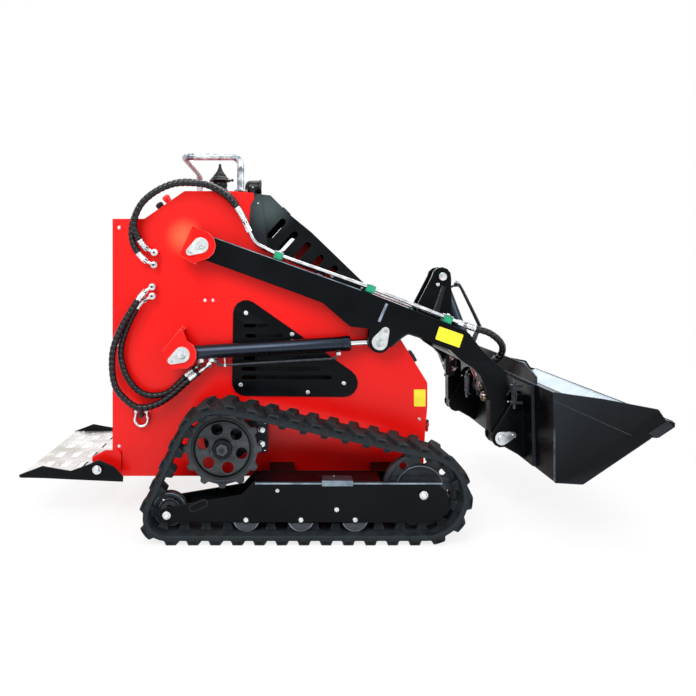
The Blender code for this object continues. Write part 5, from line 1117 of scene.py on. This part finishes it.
def keeper(big, small, face, size=1.0):
    # a zinc teardrop on a pin's end: the plate, the pin's ringed head in it, and the bolt that holds it
    outline = roundHull([(*big, 0.0285 * size), (*small, 0.0140 * size)], 8)
    head = [(hair, -0.001), (0.0137, -0.001), (0.0137, 0.0026), (0.0124, 0.0036), (0.0088, 0.0036), (0.0084, 0.0028),
            (0.0066, 0.0028), (0.0062, 0.0036), (0.0030, 0.0036), (0.0024, 0.0022), (hair, 0.0020)]
    pinHead = turned(head, (big[0], face - 0.0082, big[1]), rightward, 36)
    bolt = hexBolt((small[0], face - 0.0066, small[1]), rightward, 0.0058 * size, False)
    return plate(outline, face, face - 0.0068, 0.0010), join(pinHead, bolt)


def lying(outline, face, thick, bevel, radius=0.003, steps=3):
    # a thin sheet with rounded corners that lies on a right-hand face, from face outwards
    return plate(roundCorners(outline, radius, steps), face, face - thick, bevel)


bodyFittings = {
    "keepers": (((-0.288, 0.991), (-0.3260, 0.9685)), (lift["base"], (-0.3916, 0.5788))),
    "rearLug": (-0.5130, -0.2640, 0.3830), "rearBow": (-0.5130, -0.2680, 0.3830),
    "frontLug": (0.5440, -0.1800, 0.3180), "frontBow": (0.5560, -0.1800, 0.3180),
    "latch": (0.4870, -0.2150, 0.5760), "latchBolt": (0.4990, -0.2150, 0.5832),
    "panelDown": (0.523, 0, -0.852), "panelOut": (0.852, 0, 0.523),
    "catch": (0.020, -0.2200, 1.1216), "hoodDown": (0.70, 0, -0.71), "hoodOut": (0.71, 0, 0.70),
    "label": ((0.4930, 0.3970), (0.5360, 0.3970), (0.5360, 0.4600), (0.4930, 0.4600)),
    "seams": (((-0.3600, 0.9620), (-0.3200, 1.0620)), ((-0.4270, 0.6130), (-0.3610, 0.6960)),
              ((-0.3145, 0.9255), (-0.3620, 0.9550)), ((-0.4250, 0.6060), (-0.3940, 0.5460)))}


def chassisFittings():
    # bolts, pins' keepers, tie-downs, the front latch, the hood's catch, a blank label and weld seams with a painted
    # highlight
    side, bracket = faceY["side"], faceY["bracket"]
    zinc = [hexBolt((x, faceY[face], z), rightward, size) for face, bolts in bodyBolts.items()
            for x, z, size in bolts]
    keepers = [keeper(big, small, bracket) for big, small in bodyFittings["keepers"]]
    zinc += [headForm for plateForm, headForm in keepers]
    # the rear tie-down: a welded lug and a bow shackle
    lug = plate(roundCorners(((-0.018, -0.022), (0.018, -0.022), (0.018, 0.022), (-0.018, 0.022)), 0.006), -0.006,
                0.006, 0.001)
    dark = [stood(lug, bodyFittings["rearLug"], leftward, forward, upward)]
    bowForm, rod = dShackle(bodyFittings["rearBow"], forward, 0.0240, 0.074, 0.0052)
    zinc.append(bowForm)
    red = [rod]
    # the front tie-down
    lug = plate(roundCorners(((-0.014, -0.014), (0.020, -0.014), (0.020, 0.014), (-0.014, 0.014)), 0.005), -0.005,
                0.005, 0.001)
    dark.append(stood(lug, bodyFittings["frontLug"], forward, leftward, upward))
    red += dShackle(bodyFittings["frontBow"], leftward, 0.0130, 0.040, 0.0038)
    # the front panel's turn latch and the hood's catch
    dark.append(stood(block((-0.022, 0.022), (-0.016, 0.016), (0.0008, 0.0140), 0.003),
                      bodyFittings["latch"], bodyFittings["panelDown"], leftward, bodyFittings["panelOut"]))
    zinc.append(hexBolt(bodyFittings["latchBolt"], bodyFittings["panelOut"], 0.0045, False))
    dark.append(stood(block((-0.020, 0.020), (-0.012, 0.012), (0.0004, 0.0050), 0.002),
                      bodyFittings["catch"], bodyFittings["hoodDown"], leftward, bodyFittings["hoodOut"]))
    yellow = lying(bodyFittings["label"], side - 0.0001, 0.0004, 0.0001)
    # beads along the brackets' rear and lower edges, in a pale red painted highlight
    beads = [seam([(x, side - 0.0010, z) for x, z in line]) for line in bodyFittings["seams"]]
    return [(join(*zinc), brightZinc), (join(*dark), blackPowderCoat), (join(*red), redEnamel), (yellow, yellowVinyl),
            (join(*beads), highlightRed), (join(*(plateForm for plateForm, headForm in keepers)), whiteZinc)]


makePair("finishBodyFittings", chassisFittings(), "chassis")

# the hood's side flange, lapped over the red side plate
lap = ((-0.0890, 1.1830), (-0.1110, 1.1480), (-0.1165, 1.1050), (-0.1155, 1.0650), (-0.1030, 1.0280),
       (-0.0860, 0.9900), (-0.0600, 0.9800), (-0.0500, 0.9900), (-0.0700, 1.1700), (-0.0760, 1.1815))
makePair("finishHoodLap", [(lying(lap, faceY["side"], 0.0024, 0.0007, 0.006, 5), hoodPowderCoat)], "chassis")

# the red bulkhead under the hood that shows through its lower slots, and a black sheet behind the vents: painted shade
# that keeps the inside seen through the slots dark
bulkhead = ((0.050, 0.940), (0.190, 0.874), (0.285, 0.842), (0.268, 0.858), (0.145, 0.975), (0.075, 1.035))
behindSlots = [(join(plate(roundCorners(bulkhead, 0.006), -0.003, 0.003, 0.001),
                     block((0.060, 0.200), (-0.180, 0.180), (0.876, 0.880), 0.001)), redPowderCoat),
               (block((-0.150, 0.250), (0.2360, 0.2390), (0.440, 0.770), 0.001), blackPowderCoat)]
makePiece("finishBulkhead", behindSlots, "chassis")


armTrim = {"keeper": (0.3768, 0.6830), "keeperFace": -0.3098, "nipple": (0.8215, -0.2850, 0.420),
           "plateEdgeHighlight": ((0.3490, 0.7175), (0.3585, 0.7150), (0.3868, 0.7800), (0.3780, 0.7830)),
           "topEdge": ((-0.250, -0.0036), (0.290, -0.0036), (0.290, -0.0008), (-0.250, -0.0008)),
           "label": ((0.5718, 0.6994), (0.5567, 0.6536), (0.6440, 0.6218), (0.6592, 0.6691)),
           "seam": ((0.4000, 0.6260), (0.4320, 0.6550), (0.4620, 0.6715), (0.5080, 0.6570)),
           "upperTube": (0.630, -0.2600, 0.655), "lowerTube": (0.698, -0.2600, 0.572)}


def armFittings():
    # the lift pin's keeper, a grease nipple, a blank label, painted highlight strips on the edges and weld seams
    face = faceY["arm"]
    plateForm, headForm = keeper(lift["far"], armTrim["keeper"], armTrim["keeperFace"])
    grease = turned([(hair, 0), (0.0042, 0), (0.0042, 0.004), (0.0021, 0.005), (0.0029, 0.0085), (0.0012, 0.0105),
                     (hair, 0.0108)], armTrim["nipple"], (1, 0, 0.2), 12)
    # a pale strip on the front plate's edge: a painted highlight
    lit = lying(armTrim["plateEdgeHighlight"], face, 0.0012, 0.0003, 0.001, 2)
    # a painted highlight along the arm's upper edge
    topEdge = [onArm(x, height)[[0, 2]] for x, height in armTrim["topEdge"]]
    lit = join(lit, plate(np.array(topEdge), face, face - 0.0006, 0.0002))
    yellow = lying(armTrim["label"], face - 0.0001, 0.0004, 0.0001)
    # seams where the arm's side plates meet its edge plate, and where the cross tubes land
    beads = [seam([(x, face - 0.0002, z) for x, z in armTrim["seam"]], 0.0026),
             weld(armTrim["upperTube"], leftward, 0.0400, 0.0030, 60),
             weld(armTrim["lowerTube"], leftward, 0.0180, 0.0025, 30)]
    return [(join(headForm, grease), brightZinc), (yellow, yellowVinyl), (join(*beads), blackPowderCoat),
            (lit, steelAndPaintedHighlight), (plateForm, whiteZinc)]


makePair("finishArmFittings", armFittings(), "lift_arms")


towerTrim = {"pinHead": 0.0585, "bolt": (0.6330, 0.0462, 0.8440), "tube": (0.630, 0.655), "seamY": (0.0335, 0.0465),
             "flange": ((0.6125, 0.7380), (0.6380, 0.7330), (0.6640, 0.8340), (0.6480, 0.8400)),
             "flangeY": (0.0460, 0.0485),
             "edge": ((0.6120, 0.7380), (0.6190, 0.7370), (0.6545, 0.8390), (0.6475, 0.8410)),
             "edgeY": (0.0480, 0.0495)}


def towerFittings():
    # the tilt pin's heads, the ears' bolts, their seams on the cross tube, the flanges at their feet and a painted
    # highlight strip on each flange's edge
    head = [(hair, -0.002), (0.0150, -0.002), (0.0165, -0.0005), (0.0165, 0.0045), (0.0150, 0.006), (hair, 0.0062)]
    (pinX, pinZ), pinY, (boltX, boltY, boltZ) = tilt["base"], towerTrim["pinHead"], towerTrim["bolt"]
    zinc = [turned(head, (pinX, side * pinY, pinZ), (0, side, 0), 32) for side in (-1, 1)]
    zinc += [hexBolt((boltX, side * boltY, boltZ), (0, side, 0), 0.0055) for side in (-1, 1)]
    tubeX, tubeZ = towerTrim["tube"]
    beads = [weld((tubeX, side * y, tubeZ), leftward, 0.0400, 0.0030, 60) for side in (-1, 1)
             for y in towerTrim["seamY"]]
    flange, lit = roundCorners(towerTrim["flange"], 0.004), roundCorners(towerTrim["edge"], 0.0015, 2)
    dark = [plate(flange, *(side * y for y in towerTrim["flangeY"]), 0.0008) for side in (-1, 1)]
    # a dull grey strip along each flange's edge: a painted highlight
    paintedHighlights = [plate(lit, *(side * y for y in towerTrim["edgeY"]), 0.0004) for side in (-1, 1)]
    return [(join(*zinc), brightZinc), (join(*beads, *dark), blackPowderCoat), (join(*paintedHighlights), dullGreyAndEdgeHighlight)]


makePiece("finishTowerFittings", towerFittings(), "lift_arms")

print("stage: bucket")

bucket = {"half": 0.5368, "outer": 0.5465, "off": 0.0004, "thick": 0.0008, "fillet": 0.014,
          "lip": ((1.2708, -0.536, 0.4112), (1.2708, 0.536, 0.4112)), "crease": ((0.8813, 0.4800), (1.1310, 0.3690)),
          "rearX": (0.8800, 0.8860), "rearZ": (0.2200, 0.3900),
          "top": ((0.8785, 0.8860), (-0.545, 0.545), (0.5060, 0.5092))}
# the shell's inner face from its rear top, down the back, along the bottom and up to the lip; the
# cheek's outline on from there; and the shell's outside, from the heel to the lip
bucketInside = np.array([(0.8852, 0.5055), (0.8913, 0.2225), (0.9735, 0.2175), (1.1500, 0.3370)])
bucketCheek = [(1.2180, 0.3640), (1.2540, 0.4010), (1.2350, 0.4170), (1.2140, 0.4480), (1.0450, 0.4810)]
bucketOutside = [(0.8835, 0.2165), (0.9745, 0.2110), (1.1950, 0.3600)]


def bucketForms():
    # a pale liner on the shell's inner face and cheeks as a painted reflection of the sky, seams inside and out, the
    # lip's bead, a painted highlight on the top edge, a thin grey line along each cheek's crease and a painted
    # highlight on its rear edge
    half, outer, off = bucket["half"], bucket["outer"], bucket["off"]
    face = smoothFillet(bucketInside, bucket["fillet"])
    normal = unit(np.gradient(face, axis=0))
    normal = np.stack([-normal[:, 1], normal[:, 0]], 1)
    raised, low = face + normal * (off + bucket["thick"]), face + normal * off
    ring = np.concatenate([raised, low[::-1]])
    # the liner and the cheeks' sheets: a painted reflection of the sky on the black inner faces
    skyReflectionLiner = gridForm(np.stack([np.insert(ring, 1, y, axis=1) for y in np.linspace(-half, half, 24)]))
    cheek = inset(np.concatenate([raised, bucketCheek]), 0.002)
    cheeks = [plate(cheek, side * (half - 0.0002), side * (half + 0.0001), 0.0001) for side in (-1, 1)]
    beads = [tube(np.linspace(*bucket["lip"], 30), 0.0026, 12, upward)]
    creaseAndEdgeLines = []
    for side in (-1, 1):
        # the inside's three flats lie between these rows of the liner
        for a, b in ((0, 1), (9, 10), (18, 19)):
            beads.append(seam([(x, side * (half - 0.0010), z) for x, z in (raised[a], raised[b])], 0.0026))
        for pair in zip(bucketOutside, bucketOutside[1:]):
            beads.append(seam([(x, side * outer, z) for x, z in pair], 0.0020))
        crease = np.linspace(*bucket["crease"], 50)
        creaseAndEdgeLines.append(tube(np.insert(crease, 1, side * (outer + 0.0003), axis=1), 0.0007, 6))
        # a grey strip down each cheek's rear edge: a painted highlight
        creaseAndEdgeLines.append(block(bucket["rearX"], (side * (outer - 0.0003), side * (outer + 0.0009)), bucket["rearZ"],
                             0.0004))
    # a pale strip on the top edge: a painted highlight
    paintedHighlights = block(*bucket["top"], 0.0008)
    return [(join(skyReflectionLiner, *cheeks), paleSteelAndSkyReflection), (join(*beads), blackPowderCoat), (paintedHighlights, steelAndPaintedHighlight),
            (join(*creaseAndEdgeLines), dullGreyAndEdgeHighlight)]


makePiece("finishBucket", bucketForms(), "bucket")


def latchSpring(x, y, low, high, turns):
    # a coil round an upright rod between its two collars
    t = np.linspace(0, 1, 260)
    turn = 2 * math.pi * turns * t
    coil = np.stack([x + 0.0085 * np.cos(turn), y + 0.0085 * np.sin(turn), low + (high - low) * t], 1)
    rod = [(hair, low - 0.030), (0.0052, low - 0.029), (0.0052, low - 0.004), (0.0098, low - 0.003), (0.0098, low),
           (0.0052, low + 0.001), (0.0052, high - 0.001), (0.0098, high), (0.0098, high + 0.003),
           (0.0052, high + 0.004), (0.0052, high + 0.022), (hair, high + 0.023)]
    return join(tube(coil, 0.0014, 8, upward), turned(rod, (x, y, 0), upward, 20))


def lugs(x, y, lows, tall, bevel):
    # flat lugs one above the other, for a latch's rod
    return join(*(block(x, y, (low, low + tall), bevel) for low in lows))


# the quick plate's side locks with the lower pin's keeper, and the lock in its middle
lowerKeeper = join(*keeper((0.790, 0.300), (0.8300, 0.3120), -0.3253, 0.86))
sideLock = [(lugs((0.8160, 0.8560), (-0.3560, -0.3340), (0.428, 0.488), 0.008, 0.0015), blackPowderCoat),
            (latchSpring(0.8290, -0.3450, 0.4390, 0.4850, 8), dullGreyAndEdgeHighlight), (lowerKeeper, brightZinc)]
makePair("finishAttachFittings", sideLock, "bucket")
middleLock = [(latchSpring(0.7840, 0.0680, 0.395, 0.452, 10), steelAndPaintedHighlight),
              (lugs((0.7780, 0.8000), (0.0590, 0.0770), (0.378, 0.459), 0.005, 0.001), blackPowderCoat)]
makePiece("finishLatchSpring", middleLock, "bucket")


platform = {"deckZ": 0.1642, "boltX": (-0.900, -0.775), "studX": (-0.915, -0.851, -0.787),
            "studY": np.arange(-0.255, -0.01, 0.0635), "boltY": -0.2800, "hinge": (-0.662, -0.3178, 0.184)}


def platformFittings():
    # the hinge's bolt, two bolts through the deck, and rows of raised studs for grip
    z = platform["deckZ"]
    stud = [(hair, 0), (0.0042, 0), (0.0026, 0.0016), (hair, 0.0018)]
    return join(hexBolt(platform["hinge"], rightward, 0.0125),
                *(hexBolt((x, platform["boltY"], z), upward, 0.0045) for x in platform["boltX"]),
                *(turned(stud, (x, y, z), upward, 8) for x in platform["studX"] for y in platform["studY"]))


makePair("finishPlatformFittings", [(platformFittings(), brightZinc)], "platform")

print("stage: floor, light and camera")

studio = {"floorHalf": 12, "floorZ": -0.0005, "whiteNear": 0.80, "fadeFrom": 0.8, "fadeTo": 1.9,
          "worldStrength": 0.58}
half, low = studio["floorHalf"], studio["floorZ"]
floorMesh = bpy.data.meshes.new("floor")
floorMesh.from_pydata([(-half, -half, low), (half, -half, low), (half, half, low), (-half, half, low)], [],
                      [(0, 1, 2, 3)])
floor = bpy.data.objects.new("floor", floorMesh)
bpy.context.scene.collection.objects.link(floor)

# the floor: white paint that takes the shadow; to the camera it is part white light, all of it far out
floorPaint = bpy.data.materials.new("whiteSweep")
floorPaint.use_nodes = True
tree = floorPaint.node_tree
tree.nodes.clear()
paint = addNode(tree, "ShaderNodeBsdfDiffuse", {"Color": (1, 1, 1, 1)})
whiteLight = addNode(tree, "ShaderNodeEmission", {"Color": (1, 1, 1, 1), "Strength": 1.0})
ray = addNode(tree, "ShaderNodeLightPath")
spot = addNode(tree, "ShaderNodeTexCoord").outputs["Object"]
away = addNode(tree, "ShaderNodeVectorMath", {"operation": "LENGTH"}, {0: spot}).outputs["Value"]
fade = addNode(tree, "ShaderNodeMapRange",
               {1: studio["fadeFrom"], 2: studio["fadeTo"], 3: studio["whiteNear"], 4: 1.0}, {0: away})
share = addNode(tree, "ShaderNodeMath", {"operation": "MULTIPLY"},
                {0: ray.outputs["Is Camera Ray"], 1: fade.outputs[0]})
mixed = addNode(tree, "ShaderNodeMixShader", None,
                {0: share.outputs[0], 1: paint.outputs[0], 2: whiteLight.outputs[0]})
addNode(tree, "ShaderNodeOutputMaterial", None, {0: mixed.outputs[0]})
floorMesh.materials.append(floorPaint)

# the world: plain white to the camera, in reflections and through glass, and a softer white as light
world = bpy.data.worlds.new("studio")
bpy.context.scene.world = world
world.use_nodes = True
tree = world.node_tree
tree.nodes.clear()
ray = addNode(tree, "ShaderNodeLightPath")
direct = addNode(tree, "ShaderNodeMath", {"operation": "MAXIMUM"},
                 {0: ray.outputs["Is Camera Ray"], 1: ray.outputs["Is Glossy Ray"]})
clear = addNode(tree, "ShaderNodeMath", {"operation": "MAXIMUM"},
                {0: direct.outputs[0], 1: ray.outputs["Is Transmission Ray"]})
white = addNode(tree, "ShaderNodeBackground", {"Color": (1, 1, 1, 1), "Strength": 1.0})
soft = addNode(tree, "ShaderNodeBackground", {"Color": (1, 1, 1, 1), "Strength": studio["worldStrength"]})
blend = addNode(tree, "ShaderNodeMixShader", None, {0: clear.outputs[0], 1: soft.outputs[0], 2: white.outputs[0]})
addNode(tree, "ShaderNodeOutputWorld", None, {0: blend.outputs[0]})

# columns: name, place, aimed at, size, watts
for name, place, aim, size, watts in (("keyLight", (-1.6, -3.2, 3.4), (0, 0, 0.6), 2.4, 130),
                                      ("fillLight", (3.4, -2.6, 2.0), (0.3, 0, 0.5), 2.6, 60),
                                      ("topLight", (0.2, 0.6, 4.4), (0, 0, 0.5), 3.0, 90),
                                      ("backLight", (0.5, 4.2, 2.6), (0, 0, 0.6), 3.0, 80)):
    lamp = bpy.data.lights.new(name, "AREA")
    lamp.size = size
    lamp.energy = watts
    made = bpy.data.objects.new(name, lamp)
    made.location = place
    made.rotation_euler = (Vector(aim) - Vector(place)).to_track_quat("-Z", "Y").to_euler()
    bpy.context.scene.collection.objects.link(made)

# the photograph's own view: level, square to the loader's side, with the picture shifted in the lens
photoView = {"lens": 32.09, "sensor": 36, "shiftX": 0.0963, "shiftY": -0.1121, "away": 2.55, "height": 0.903}
lens = bpy.data.cameras.new("camera")
lens.lens = photoView["lens"]
lens.sensor_width = photoView["sensor"]
lens.shift_x = photoView["shiftX"]
lens.shift_y = photoView["shiftY"]
camera = bpy.data.objects.new("camera", lens)
camera.location = (datumX, -photoView["away"], photoView["height"])
camera.rotation_euler = (math.radians(90), 0, 0)
bpy.context.scene.collection.objects.link(camera)
bpy.context.scene.camera = camera
bpy.context.scene.view_settings.view_transform = "Standard"
